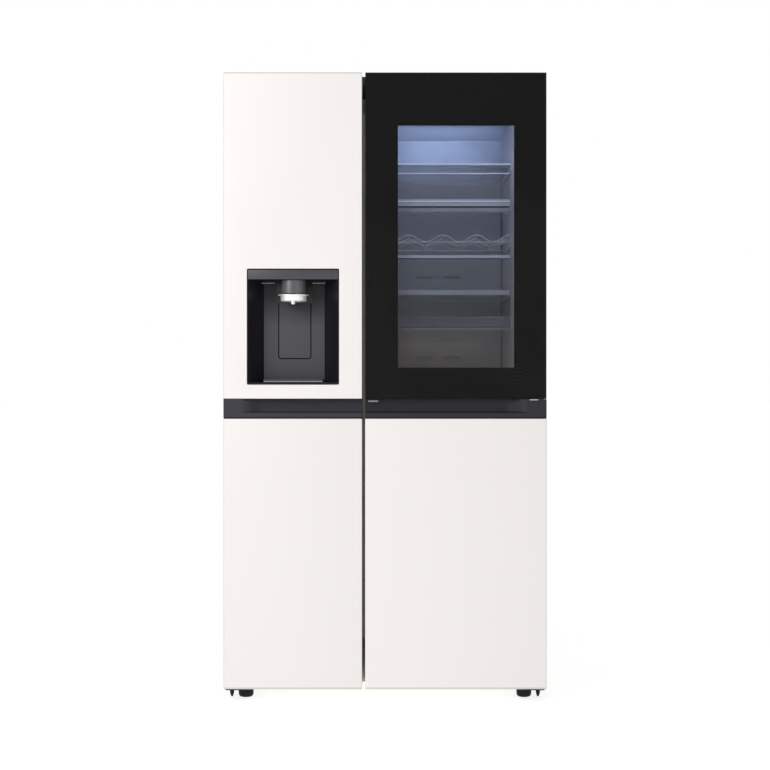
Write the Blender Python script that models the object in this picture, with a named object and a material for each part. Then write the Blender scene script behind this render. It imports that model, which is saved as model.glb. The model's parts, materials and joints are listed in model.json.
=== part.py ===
"""Side by side refrigerator: freezer on the left behind a door with an ice and water dispenser, fridge on the
right behind a door whose upper half is a second, see-through door.

Metres, +Z up, front towards -Y. The origin is at the bottom centre of the whole object.
"""

import math

import bmesh
import bpy
from mathutils import Vector

# Driving dimensions of the whole appliance
WIDTH = 0.913
DEPTH = 0.735
HEIGHT = 1.790
DOOR_TOP = 1.780
DOOR_BOTTOM = 0.037
DOOR_THICKNESS = 0.105
DOOR_GAP = 0.009
FREEZER_DOOR_WIDTH = 0.3915
SEAL_SPACE = 0.010
CLEAR = 0.0003  # gap kept between pieces that touch
SHEET = 0.001  # steel sheet

HALF_WIDTH = WIDTH / 2
FRONT = -DEPTH / 2
BACK = DEPTH / 2
DOOR_BACK = FRONT + DOOR_THICKNESS
CASE_FRONT = DOOR_BACK + SEAL_SPACE
FREEZER_DOOR_RIGHT = -HALF_WIDTH + FREEZER_DOOR_WIDTH
FRIDGE_DOOR_LEFT = FREEZER_DOOR_RIGHT + DOOR_GAP
GAP_MIDDLE = FREEZER_DOOR_RIGHT + DOOR_GAP / 2

# Case
CASE_HALF = HALF_WIDTH - 0.001
CASE_TOP = 1.750
CASE_BOTTOM = 0.040
FOAM_BOTTOM = 0.103
WALL = 0.0755
MULLION = 0.050
FLOOR = 0.155
CEILING = 1.692
CAVITY_BACK = 0.300
STEP_FRONT = 0.050  # the floor steps up over the machine room
STEP_TOP = 0.390
LINER = 0.0015
MACHINE_FRONT = 0.100
MACHINE_TOP = 0.340
FREEZER_X = (-CASE_HALF + WALL, GAP_MIDDLE - MULLION / 2)
FRIDGE_X = (GAP_MIDDLE + MULLION / 2, CASE_HALF - WALL)

# Handle band across both doors
BAND_BOTTOM = 0.8015
BAND_TOP = 0.858
LIP_TOP = 0.8185
GROOVE_DEPTH = 0.029
BAND_BACK = FRONT + 0.0372
BAND_END = 0.048  # flush length at each outer end of the band
SKIN_RETURN = FRONT + 0.0925

# Recess behind the top edge of each door, where the hinges lie
CAP_Z = 1.768
CAP_FRONT = FRONT + 0.0155

# Joint axes
HINGE_X = 0.440
HINGE_Y = FRONT + 0.0825
OUTER_HINGE_X = 0.4465
OUTER_HINGE_Y = FRONT + 0.0305
PIN_R = 0.005
OUTER_PIN_R = 0.004

# Outer see-through door
OUTER_BOTTOM = 0.857
OUTER_BACK = FRONT + 0.042
INNER_FRONT = OUTER_BACK + 0.006
WINDOW_X = (0.0366, 0.3646)
WINDOW_Z = (0.9457, 1.6306)
GLASS = 0.004
NICHE_X = (-0.010, 0.370)
NICHE_Z = (0.915, 1.690)
BUTTON_X = (-0.0477, -0.0190)
BUTTON_Y = (FRONT + 0.0075, FRONT + 0.0225)
BUTTON_Z = (0.8485, 0.8650)
BUTTON_TRAVEL = 0.003

# Dispenser
DISPENSER_X = (-0.3904, -0.1295)
DISPENSER_Z = (0.8973, 1.2255)
DISPENSER_BACK = FRONT + 0.093
RECESS_FRONT_X = (-0.3874, -0.1325)
RECESS_BACK_X = (-0.3478, -0.1726)
RECESS_Z = (0.9043, 1.1944)
RECESS_BACK = FRONT + 0.0685
LEVER_X = (-0.3049, -0.2123)
LEVER_Z = (0.972, 1.150)
LEVER_THICKNESS = 0.004
LEVER_SWING_SPACE = 0.0215
NOZZLE_X = (DISPENSER_X[0] + DISPENSER_X[1]) / 2
NOZZLE_Y = FRONT + 0.0345
NOZZLE_BOTTOM = 1.1560
NOZZLE_R = 0.030
NOZZLE_HALF_WIDTH = 0.0325
COLLAR_R = 0.0325
COLLAR_Z = (1.1340, 1.1535)
COLLAR_HALF_WIDTH = 0.037
FLANGE_HALF_WIDTH = 0.044
SPOUT_R = 0.0055
TRAY_X = (-0.343, -0.177)
TRAY_HEIGHT = 0.0085

# Inside
SHELF_FRONT = -0.140
FRIDGE_SHELVES = ((1.552, 0.010), (1.175, 0.010), (1.098, 0.033))  # top of glass, height of front trim
RACK_Z = 1.322
CRISPER_Z = (0.412, 0.610)
FREEZER_SHELF_Z = (1.050,)
DRAWER_Z = (0.412, 0.610)
RAIL = 0.008
BIN_WALL = 0.003
SHELF_BACK = 0.262
FREEZER_SHELF_BACK = 0.236
LAMP_HALF = (0.110, 0.045)
LAMP_Y = -0.127
FREEZER_DOOR_BASKET_Z = (0.620, 0.300)
DOOR_BASKETS = ((1.392, 1.503), (1.154, 1.268), (0.918, 1.058))

# Feet, rollers and machine room
FOOT_X = 0.400
FOOT_Y = FRONT + 0.0875
FOOT_R = 0.021
STEM_TOP = 0.0366
ROLLER_R = 0.017
ROLLER_Y = 0.300
ROLLER_WIDTH = 0.024
FAN_CENTRE = Vector((0.040, 0.235, 0.170))
FAN_R = 0.066
INLET_Z = 0.125
CORD_X = -0.400
WATER_X = 0.380
CONDENSER_X = (0.115, 0.365)
CONDENSER_Y = (0.150, 0.320)
CONDENSER_Z = (0.043, 0.235)
COMPRESSOR_CENTRE = (-0.250, 0.235, 0)
COMPRESSOR_R = 0.075
BLADES = 5
BLADE_PITCH = math.radians(12)

COLOURS = {
    "panel": ((0.88, 0.85, 0.82), 0.35, 0.0),
    "case_steel": ((0.78, 0.76, 0.74), 0.40, 0.0),
    "zinc": ((0.55, 0.56, 0.57), 0.45, 0.8),
    "foam": ((0.85, 0.75, 0.45), 0.90, 0.0),
    "liner": ((0.86, 0.88, 0.90), 0.40, 0.0),
    "dark_plastic": ((0.045, 0.043, 0.050), 0.45, 0.0),
    "black_plastic": ((0.010, 0.010, 0.010), 0.40, 0.0),
    "rubber": ((0.10, 0.10, 0.10), 0.80, 0.0),
    "chrome": ((0.80, 0.80, 0.82), 0.12, 1.0),
    "black_steel": ((0.02, 0.02, 0.02), 0.50, 0.5),
    "clear_glass": ((0.80, 0.88, 0.90), 0.05, 0.0),
    "smoked_glass": ((0.03, 0.03, 0.035), 0.05, 0.0),
    "clear_plastic": ((0.82, 0.86, 0.90), 0.10, 0.0),
    "white_plastic": ((0.80, 0.82, 0.84), 0.40, 0.0),
    "copper": ((0.70, 0.35, 0.20), 0.35, 1.0),
}
MATERIALS = {}
PIVOTS = {}


# ---------------------------------------------------------------- shape helpers


def box(x, y, z):
    """A box as a bmesh, from its extents along each axis."""
    bm = bmesh.new()
    bmesh.ops.create_cube(bm, size=1.0)
    size = Vector((x[1] - x[0], y[1] - y[0], z[1] - z[0]))
    middle = Vector((x[0] + x[1], y[0] + y[1], z[0] + z[1])) / 2
    bmesh.ops.scale(bm, vec=size, verts=bm.verts)
    bmesh.ops.translate(bm, vec=middle, verts=bm.verts)
    return bm


def prism(axis, outline, start, end):
    """An outline in the two other axes, in X, Y, Z order, extruded along one axis."""
    bm = bmesh.new()

    def point(pair, along):
        values = list(pair)
        values.insert("xyz".index(axis), along)
        return Vector(values)

    ring = [bm.verts.new(point(p, start)) for p in outline]
    face = bm.faces.new(ring)
    made = bmesh.ops.extrude_face_region(bm, geom=[face])["geom"]
    moved = [v for v in made if isinstance(v, bmesh.types.BMVert)]
    shift = point((0, 0), end - start)
    bmesh.ops.translate(bm, vec=shift, verts=moved)
    bmesh.ops.recalc_face_normals(bm, faces=bm.faces)
    return bm


def turned(profile, centre, axis="z", segments=24, stretch=1.0):
    """A closed profile of (radius, height) points spun round an axis. stretch widens it along X."""
    bm = bmesh.new()
    rings = []
    for radius, height in profile:
        if radius == 0:
            rings.append([bm.verts.new((0, 0, height))])
            continue
        turns = [2 * math.pi * k / segments for k in range(segments)]
        rings.append([bm.verts.new((radius * math.cos(a), radius * math.sin(a), height)) for a in turns])
    for lower, upper in zip(rings, rings[1:] + rings[:1]):
        for k in range(segments):
            after = (k + 1) % segments
            if len(lower) == 1 and len(upper) == 1:
                break
            if len(lower) == 1:
                bm.faces.new((lower[0], upper[k], upper[after]))
            elif len(upper) == 1:
                bm.faces.new((lower[k], lower[after], upper[0]))
            else:
                bm.faces.new((lower[k], lower[after], upper[after], upper[k]))
    for v in bm.verts:
        x, y, z = v.co
        if axis == "x":
            v.co = Vector((z, x, y))
        elif axis == "y":
            v.co = Vector((y, z, x))
        v.co.x *= stretch
        v.co += Vector(centre)
    bmesh.ops.recalc_face_normals(bm, faces=bm.faces)
    return bm


def rod(centre, radius, start, end, axis="z", segments=16):
    """A plain round bar between two places along an axis."""
    profile = [(0, start), (radius, start), (radius, end), (0, end)]
    return turned(profile, centre, axis, segments)


def loft(front_x, front_z, back_x, back_z, front_y, back_y):
    """A block between a rectangle at front_y and another at back_y."""
    bm = bmesh.new()
    corners = []
    for (x0, x1), (z0, z1), y in ((front_x, front_z, front_y), (back_x, back_z, back_y)):
        corners.append([bm.verts.new(c) for c in ((x0, y, z0), (x1, y, z0), (x1, y, z1), (x0, y, z1))])
    near, far = corners
    bm.faces.new(near)
    bm.faces.new(far)
    for k in range(4):
        after = (k + 1) % 4
        bm.faces.new((near[k], near[after], far[after], far[k]))
    bmesh.ops.recalc_face_normals(bm, faces=bm.faces)
    return bm


def together(*parts):
    """Several separate bmeshes in one."""
    whole = bmesh.new()
    for bm in parts:
        mesh = bpy.data.meshes.new("part")
        bm.to_mesh(mesh)
        whole.from_mesh(mesh)
        bpy.data.meshes.remove(mesh)
    return whole


def mirrored(bm):
    """The same shape on the other side of X = 0."""
    copy = bm.copy()
    for v in copy.verts:
        v.co.x = -v.co.x
    bmesh.ops.reverse_faces(copy, faces=copy.faces)
    return copy


def material(name):
    if name not in MATERIALS:
        colour, roughness, metallic = COLOURS[name]
        made = bpy.data.materials.new(name)
        made.use_nodes = True
        shader = made.node_tree.nodes["Principled BSDF"]
        shader.inputs["Base Color"].default_value = (*colour, 1)
        shader.inputs["Roughness"].default_value = roughness
        shader.inputs["Metallic"].default_value = metallic
        MATERIALS[name] = made
    return MATERIALS[name]


def pivot(name, place, parent=None):
    """An empty on a joint's axis. What moves with the joint is parented to it."""
    empty = bpy.data.objects.new(name, None)
    bpy.context.scene.collection.objects.link(empty)
    PIVOTS[name] = Vector(place)
    empty.location = PIVOTS[name]
    if parent:
        empty.parent = bpy.data.objects[parent]
        empty.location = PIVOTS[name] - PIVOTS[parent]
    return empty


def put(name, bm, parent=None):
    """Links a bmesh, drawn in the object's frame, as an object with its origin at its middle."""
    low = Vector(min(v.co[k] for v in bm.verts) for k in range(3))
    high = Vector(max(v.co[k] for v in bm.verts) for k in range(3))
    middle = (low + high) / 2
    bmesh.ops.translate(bm, vec=-middle, verts=bm.verts)
    mesh = bpy.data.meshes.new(name)
    bm.to_mesh(mesh)
    bm.free()
    obj = bpy.data.objects.new(name, mesh)
    bpy.context.scene.collection.objects.link(obj)
    obj.location = middle
    if parent:
        obj.parent = bpy.data.objects[parent]
        obj.location = middle - PIVOTS[parent]
    return obj


def piece(name, bm, material_name, parent=None, joins=(), cuts=(), adds=(), smooth=False):
    """One named sub-part. joins are added, then cuts taken away, then adds added, each by a Boolean."""
    obj = put(name, bm, parent)
    obj.data.materials.append(material(material_name))
    steps = (("join", "UNION", joins), ("cut", "DIFFERENCE", cuts), ("add", "UNION", adds))
    for label, operation, shapes in steps:
        for number, shape in enumerate(shapes):
            helper = put(f"{name}_{label}_{number}", shape, parent)
            helper.hide_render = True
            helper.display_type = "WIRE"
            modifier = obj.modifiers.new(helper.name, "BOOLEAN")
            modifier.operation = operation
            modifier.object = helper
    if smooth:
        obj.data.shade_smooth()
        obj.data.set_sharp_from_angle(angle=math.radians(35))
    return obj


def ring_cut(x, y, z):
    """The through cut of a flat ring, longer than the ring is deep."""
    return box(x, (y[0] - 0.01, y[1] + 0.01), z)


def ring(name, x, y, z, width, material_name, parent):
    """A rectangular frame in the XZ plane, such as a door seal."""
    inside = ring_cut((x[0] + width, x[1] - width), y, (z[0] + width, z[1] - width))
    return piece(name, box(x, y, z), material_name, parent, cuts=[inside])


def bin_shape(x, y, z, wall):
    """An open-topped bin, as (outside, what to cut)."""
    inside = box((x[0] + wall, x[1] - wall), (y[0] + wall, y[1] - wall), (z[0] + wall, z[1] + 0.01))
    return box(x, y, z), inside


# ---------------------------------------------------------------- cabinet


def cavity(grow, front):
    """The (y, z) outline of a compartment, grown outwards by a wall, open at the given front."""
    return [
        (front, FLOOR - grow),
        (STEP_FRONT + grow, FLOOR - grow),
        (STEP_FRONT + grow, STEP_TOP - grow),
        (CAVITY_BACK + grow, STEP_TOP - grow),
        (CAVITY_BACK + grow, CEILING + grow),
        (front, CEILING + grow),
    ]


def make_case():
    skin_back = BACK - SHEET - CLEAR
    inner = CASE_HALF - SHEET
    wrap = [
        (-CASE_HALF, CASE_BOTTOM),
        (-CASE_HALF, CASE_TOP),
        (CASE_HALF, CASE_TOP),
        (CASE_HALF, CASE_BOTTOM),
        (inner, CASE_BOTTOM),
        (inner, CASE_TOP - SHEET),
        (-inner, CASE_TOP - SHEET),
        (-inner, CASE_BOTTOM),
    ]
    flange_y = (CASE_FRONT, CASE_FRONT + SHEET)
    flange_half = inner + SHEET / 2
    flange = box((-flange_half, flange_half), flange_y, (FOAM_BOTTOM, CASE_TOP - SHEET / 2))
    openings = [ring_cut(x, flange_y, (FLOOR, CEILING)) for x in (FREEZER_X, FRIDGE_X)]
    shell = prism("y", wrap, CASE_FRONT, skin_back)
    piece("cabinet_shell", shell, "case_steel", joins=[flange], cuts=openings)

    foam_half = inner - CLEAR
    foam_front = flange_y[1] + CLEAR
    foam_outline = [
        (foam_front, FOAM_BOTTOM),
        (MACHINE_FRONT, FOAM_BOTTOM),
        (MACHINE_FRONT, MACHINE_TOP),
        (skin_back, MACHINE_TOP),
        (skin_back, CASE_TOP - SHEET - CLEAR),
        (foam_front, CASE_TOP - SHEET - CLEAR),
    ]
    room = LINER + CLEAR
    holes = []
    for x in (FREEZER_X, FRIDGE_X):
        holes.append(prism("x", cavity(room, foam_front - 0.01), x[0] - room, x[1] + room))
    piece("insulation", prism("x", foam_outline, -foam_half, foam_half), "foam", cuts=holes)

    for name, x, shelves in (
        ("freezer_liner", FREEZER_X, (*FREEZER_SHELF_Z, DRAWER_Z[0])),
        ("fridge_liner", FRIDGE_X, (*[z for z, _ in FRIDGE_SHELVES], RACK_Z, CRISPER_Z[0])),
    ):
        outside = prism("x", cavity(LINER, foam_front), x[0] - LINER, x[1] + LINER)
        inside = prism("x", cavity(0, foam_front - 0.01), x[0], x[1])
        rails = []
        for z in shelves:
            level = (z - 2 * RAIL, z - RAIL / 2 - CLEAR)
            for side in ((x[0] - LINER / 2, x[0] + RAIL), (x[1] - RAIL, x[1] + LINER / 2)):
                rails.append(box(side, (SHELF_FRONT + 0.003, SHELF_FRONT + 0.36), level))
        piece(name, outside, "liner", cuts=[inside], adds=[together(*rails)])

    panel_z = (MACHINE_TOP + CLEAR, CASE_TOP - 0.002)
    piece("rear_panel", box((-foam_half, foam_half), (BACK - SHEET, BACK), panel_z), "zinc")


def make_top_cover():
    wall = 0.0025
    half = CASE_HALF - 0.001
    cover_back = CASE_FRONT + 0.120
    shell = box((-half, half), (CASE_FRONT, cover_back), (CASE_TOP + CLEAR, HEIGHT))
    hollow_y = (CASE_FRONT + wall, cover_back - wall)
    hollow = box((-half + wall, half - wall), hollow_y, (CASE_TOP - 0.01, HEIGHT - wall))
    # A lip hangs in the gap between the doors.
    lip_x = (GAP_MIDDLE - 0.015, GAP_MIDDLE + 0.015)
    lip_front = CASE_FRONT - 0.0045
    lip = box(lip_x, (lip_front, CASE_FRONT - CLEAR), (1.725, 1.760))
    lip_root = box(lip_x, (lip_front, CASE_FRONT + 0.001), (CASE_TOP + 0.002, 1.760))
    arm_bottom = 1.7732
    arms = [box((0.400, half), (HINGE_Y - 0.020, CASE_FRONT + 0.001), (arm_bottom, 1.779))]
    arms.append(mirrored(arms[0]))
    # The hinge arms leave through a slot in the front wall.
    slot_y = (CASE_FRONT - 0.01, CASE_FRONT + wall + 0.001)
    slots = [box((0.405, half - 0.001), slot_y, (CASE_TOP - 0.01, arm_bottom))]
    slots.append(mirrored(slots[0]))
    piece("top_cover", shell, "black_plastic", cuts=[hollow, *slots], joins=[lip_root, lip, *arms])


def make_main_hinges():
    plate = 0.004
    arm_z = CAP_Z + 0.0005
    foot_back = CASE_FRONT + 0.100
    riser = CASE_FRONT + 0.006
    outline = [
        (HINGE_Y - 0.0115, arm_z),
        (riser, arm_z),
        (riser, CASE_TOP + CLEAR),
        (foot_back, CASE_TOP + CLEAR),
        (foot_back, CASE_TOP + CLEAR + plate),
        (riser + plate, CASE_TOP + CLEAR + plate),
        (riser + plate, arm_z + plate),
        (HINGE_Y - 0.0115, arm_z + plate),
    ]
    top = prism("x", outline, 0.4125, 0.4505)
    top_pin = rod((HINGE_X, HINGE_Y, 0), PIN_R, arm_z - 0.018, arm_z + plate / 2)
    piece("top_hinge_left", mirrored(top), "zinc", joins=[mirrored(top_pin)])
    piece("top_hinge_right", top, "zinc", joins=[top_pin])

    level = (0.0320, 0.0362)
    plate_shape = box((0.382, 0.453), (HINGE_Y - 0.015, CASE_FRONT + 0.050), level)
    pin_outline = [(0, 0.001), (0.0025, 0.001), (PIN_R, 0.009), (PIN_R, 0.055), (0, 0.055)]
    low_pin = turned(pin_outline, (HINGE_X, HINGE_Y, 0), segments=16)
    stem_hole = rod((FOOT_X, FOOT_Y, 0), 0.0065, 0.02, 0.05)
    left = (mirrored(plate_shape), [mirrored(low_pin)], [mirrored(stem_hole)])
    right = (plate_shape, [low_pin], [stem_hole])
    for name, (shape, joins, cuts) in (("left", left), ("right", right)):
        piece(f"bottom_hinge_{name}", shape, "black_steel", joins=joins, cuts=cuts)


def make_base():
    bottom = 0.0365
    half = CASE_HALF - SHEET - 0.0005
    top = FOAM_BOTTOM - CLEAR
    back = 0.3635
    rail = 0.030
    well_x = (-half + rail, half - rail)
    front_well = box(well_x, (CASE_FRONT + 0.040, MACHINE_FRONT), (bottom - 0.01, top + 0.01))
    rear_well = box(well_x, (MACHINE_FRONT + 0.015, back - 0.010), (bottom + 0.006, top + 0.01))
    # Each roller turns on an axle between two ears.
    ears = []
    ear_y = (ROLLER_Y - 0.014, ROLLER_Y + 0.014)
    for side in (-1, 1):
        for away in (-1, 1):
            middle = side * FOOT_X + away * (ROLLER_WIDTH / 2 + 0.0035)
            ears.append(box((middle - 0.0015, middle + 0.0015), ear_y, (0.006, 0.040)))
    axle = rod((0, ROLLER_Y, ROLLER_R), 0.0035, FOOT_X - 0.0155, FOOT_X + 0.0155, axis="x", segments=12)
    frame = box((-half, half), (CASE_FRONT + CLEAR, back), (bottom, top))
    piece("base_frame", frame, "zinc", joins=ears, cuts=[front_well, rear_well], adds=[axle, mirrored(axle)])


def make_foot(name, side):
    profile = [
        (0, 0),
        (0.013, 0),
        (0.0180, 0.0022),
        (0.0204, 0.0060),
        (FOOT_R, 0.0100),
        (FOOT_R, 0.0250),
        (0.0190, 0.0275),
        (0.0055, 0.0275),
        (0.0055, STEM_TOP),
        (0, STEM_TOP),
    ]
    pivot(f"{name}_axis", (side * FOOT_X, FOOT_Y, 0))
    foot = turned(profile, (side * FOOT_X, FOOT_Y, 0), segments=24)
    piece(name, foot, "black_plastic", f"{name}_axis", smooth=True)


def make_roller(name, side):
    half = ROLLER_WIDTH / 2
    bore = 0.0042
    profile = [
        (bore, -half),
        (ROLLER_R - 0.002, -half),
        (ROLLER_R, -half + 0.002),
        (ROLLER_R, half - 0.002),
        (ROLLER_R - 0.002, half),
        (bore, half),
    ]
    place = (side * FOOT_X, ROLLER_Y, ROLLER_R)
    pivot(f"{name}_axis", place)
    piece(name, turned(profile, place, "x", 24), "rubber", f"{name}_axis", smooth=True)


def make_machine_room():
    cover = box((-0.4530, 0.4530), (BACK - 0.0025, BACK), (0.045, MACHINE_TOP - CLEAR))
    louvres = []
    for column in (-0.28, 0.23):
        for row in range(9):
            z = 0.130 + 0.020 * row
            louvres.append(box((column - 0.085, column + 0.085), (BACK - 0.02, BACK + 0.02), (z, z + 0.008)))
    cord_hole = rod((CORD_X, 0, INLET_Z), 0.0125, BACK - 0.02, BACK + 0.02, "y")
    water_hole = rod((WATER_X, 0, INLET_Z), 0.0145, BACK - 0.02, BACK + 0.02, "y")
    piece("machine_room_cover", cover, "zinc", cuts=[together(*louvres), cord_hole, water_hole])

    gland = [
        (0, 0.340),
        (0.0090, 0.340),
        (0.0120, 0.344),
        (0.0120, 0.3655),
        (0.0075, 0.3670),
        (0.0045, 0.3670),
        (0.0045, 0.350),
        (0, 0.350),
    ]
    gland_shape = turned(gland, (CORD_X, 0, INLET_Z), "y", 20)
    piece("power_cord_gland", gland_shape, "black_plastic", smooth=True)
    valve = [
        (0, 0.300),
        (0.020, 0.300),
        (0.020, 0.335),
        (0.0135, 0.335),
        (0.0135, 0.3665),
        (0.008, 0.3665),
        (0.008, 0.340),
        (0, 0.340),
    ]
    piece("water_inlet", turned(valve, (WATER_X, 0, INLET_Z), "y", 20), "white_plastic", smooth=True)
    make_compressor()
    make_condenser()
    make_shroud()


def make_compressor():
    shoulder = 0.170
    dome = 0.045
    body = [(0, 0.050), (0.070, 0.050), (COMPRESSOR_R, 0.060), (COMPRESSOR_R, shoulder)]
    for k in range(1, 5):
        turn = math.radians(90 * k / 5)
        body.append((COMPRESSOR_R * math.cos(turn), shoulder + dome * math.sin(turn)))
    body.append((0, shoulder + dome))
    compressor = turned(body, COMPRESSOR_CENTRE, segments=24)
    bench = box((-0.345, -0.155), (0.155, 0.315), (0.0428, 0.0520))
    piece("compressor", bench, "black_steel", joins=[compressor])


def make_condenser():
    """A row of fins that hang from a top plate."""
    teeth = 12
    margin = 0.005
    pitch = (CONDENSER_X[1] - CONDENSER_X[0] - 2 * margin) / teeth
    fin_bottom, top = CONDENSER_Z
    fin_top = top - 0.010
    fins = []
    for k in range(teeth):
        x = CONDENSER_X[0] + margin + pitch * k
        fins += [(x, fin_top), (x, fin_bottom), (x + pitch / 2, fin_bottom), (x + pitch / 2, fin_top)]
    start = [(CONDENSER_X[0], top), (CONDENSER_X[0], fin_top)]
    end = [(CONDENSER_X[1], fin_top), (CONDENSER_X[1], top)]
    piece("condenser", prism("y", [*start, *fins, *end], *CONDENSER_Y), "black_steel")


def make_shroud():
    cx, cy, cz = FAN_CENTRE
    shroud = box((cx - 0.010, cx + 0.010), (cy - 0.085, cy + 0.085), (0.0428, cz + 0.085))
    bore = rod((0, cy, cz), FAN_R + 0.004, cx - 0.02, cx + 0.02, "x", 32)
    spider = box((cx - 0.010, cx - 0.006), (cy - 0.080, cy + 0.080), (cz - 0.008, cz + 0.008))
    motor = rod((0, cy, cz), 0.018, cx - 0.030, cx - 0.006, "x", 20)
    piece("fan_shroud", shroud, "black_plastic", cuts=[bore], adds=[spider, motor])


def make_fan():
    cx, cy, cz = FAN_CENTRE
    pivot("condenser_fan_axis", FAN_CENTRE)
    hub = rod((0, cy, cz), 0.020, cx - 0.004, cx + 0.009, "x", 20)
    # Each blade is pitched about its own length, then turned to its place round the hub.
    blades = []
    for k in range(BLADES):
        turn = 2 * math.pi * k / BLADES
        bm = box((-0.0012, 0.0012), (0.016, FAN_R), (-0.016, 0.016))
        for v in bm.verts:
            x, y, z = v.co
            along = x * math.cos(BLADE_PITCH) - z * math.sin(BLADE_PITCH)
            across = x * math.sin(BLADE_PITCH) + z * math.cos(BLADE_PITCH)
            out_y = y * math.cos(turn) - across * math.sin(turn)
            out_z = y * math.sin(turn) + across * math.cos(turn)
            v.co = Vector((cx + 0.0025 + along, cy + out_y, cz + out_z))
        blades.append(bm)
    piece("condenser_fan", hub, "dark_plastic", "condenser_fan_axis", joins=blades)


# ---------------------------------------------------------------- inside the compartments


def make_freezer_inside():
    x = (FREEZER_X[0] + 0.004, FREEZER_X[1] - 0.004)
    duct_x = (FREEZER_X[0] + 0.002, FREEZER_X[1] - 0.002)
    vents = []
    middle = (duct_x[0] + duct_x[1]) / 2
    for z in (0.62, 0.92, 1.22, 1.52):
        for k in (-1, 0, 1):
            low = z + 0.016 * k
            vents.append(box((middle - 0.060, middle + 0.060), (0.22, 0.26), (low, low + 0.007)))
    duct = box(duct_x, (0.240, 0.243), (STEP_TOP + CLEAR, CEILING - 0.001))
    piece("evaporator_cover", duct, "white_plastic", cuts=[together(*vents)])

    teeth = 14
    pitch = 0.240 / teeth
    low, high, root = 0.450, 0.580, 0.470
    outline = [(middle - 0.120, low - 0.01)]
    for k in range(teeth):
        start = middle - 0.120 + pitch * k
        outline += [(start, high), (start + pitch / 2, high), (start + pitch / 2, root), (start + pitch, root)]
    outline.append((middle + 0.120, low - 0.01))
    piece("evaporator", prism("y", outline, 0.250, CAVITY_BACK - CLEAR), "zinc")

    for number, z in enumerate(FREEZER_SHELF_Z, 1):
        sheet = box(x, (SHELF_FRONT, FREEZER_SHELF_BACK), (z - RAIL / 2, z))
        piece(f"freezer_shelf_{number}", sheet, "clear_glass")

    drawer_y = (SHELF_FRONT, 0.230)
    outside, inside = bin_shape((x[0] + RAIL, x[1] - RAIL), drawer_y, DRAWER_Z, BIN_WALL)
    runners = box(x, drawer_y, (DRAWER_Z[0] - RAIL / 2, DRAWER_Z[0] + BIN_WALL))
    piece("freezer_drawer", outside, "clear_plastic", cuts=[inside], joins=[runners])


def make_fridge_inside():
    x = (FRIDGE_X[0] + 0.004, FRIDGE_X[1] - 0.004)
    shelf_y = (SHELF_FRONT, SHELF_BACK)
    for number, (z, trim) in enumerate(FRIDGE_SHELVES, 1):
        sheet = box(x, shelf_y, (z - RAIL / 2, z))
        edge = box(x, (SHELF_FRONT - 0.012, SHELF_FRONT + 0.002), (z + 0.002 - trim, z + 0.002))
        piece(f"fridge_shelf_{number}", sheet, "clear_glass", joins=[edge])

    # The bottle rack is a sheet with a wave for each bottle.
    waves = 4
    steps = 10
    height = 0.012
    thickness = 0.003
    width = x[1] - x[0]
    upper = []
    for k in range(waves * steps + 1):
        share = k / (waves * steps)
        rise = -height * math.cos(2 * math.pi * waves * share)
        upper.append((x[0] + width * share, RACK_Z + height + rise))
    lower = [(px, pz - thickness) for px, pz in reversed(upper)]
    piece("bottle_rack", prism("y", upper + lower, SHELF_FRONT, 0.150), "chrome")

    outside, inside = bin_shape((x[0] + RAIL, x[1] - RAIL), shelf_y, CRISPER_Z, BIN_WALL)
    runners = box(x, shelf_y, (CRISPER_Z[0] - RAIL / 2, CRISPER_Z[0] + BIN_WALL))
    piece("crisper_drawer", outside, "clear_plastic", cuts=[inside], joins=[runners])

    middle = (FRIDGE_X[0] + FRIDGE_X[1]) / 2
    slots = []
    for z in (0.72, 0.98, 1.24, 1.46):
        for side in (-1, 1):
            slot = middle + side * 0.045
            slots.append(box((slot - 0.025, slot + 0.025), (0.26, 0.29), (z, z + 0.008)))
    duct_y = (0.270, CAVITY_BACK - CLEAR)
    duct = box(x, duct_y, (STEP_TOP + 0.020, CEILING - 0.060))
    piece("fridge_air_duct", duct, "white_plastic", cuts=[together(*slots)])
    lamp_x = (middle - LAMP_HALF[0], middle + LAMP_HALF[0])
    lamp_y = (LAMP_Y - LAMP_HALF[1], LAMP_Y + LAMP_HALF[1])
    lamp = box(lamp_x, lamp_y, (CEILING - 0.012, CEILING - CLEAR))
    piece("ceiling_lamp", lamp, "clear_plastic")


# ---------------------------------------------------------------- door pieces


def door_skin(name, x, z, parent, cuts=(), top_cap=False):
    """A folded steel skin: front, sides, and both ends. The end next to the band returns only a little."""
    core_x = (x[0] + SHEET, x[1] - SHEET)
    inside = box(core_x, (FRONT + SHEET, SKIN_RETURN + 0.01), (z[0] + SHEET, z[1] - SHEET))
    removed = [inside, *cuts]
    band_side = z[0] if top_cap else z[1]
    return_y = (BAND_BACK - CLEAR, SKIN_RETURN + 0.01)
    removed.append(box(core_x, return_y, (band_side - 0.005, band_side + 0.005)))
    if top_cap:
        cap_y = (CAP_FRONT, SKIN_RETURN + 0.01)
        removed.append(box((x[0] - 0.01, x[1] + 0.01), cap_y, (CAP_Z, z[1] + 0.01)))
    piece(name, box(x, (FRONT, SKIN_RETURN), z), "panel", parent, cuts=removed)


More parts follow.
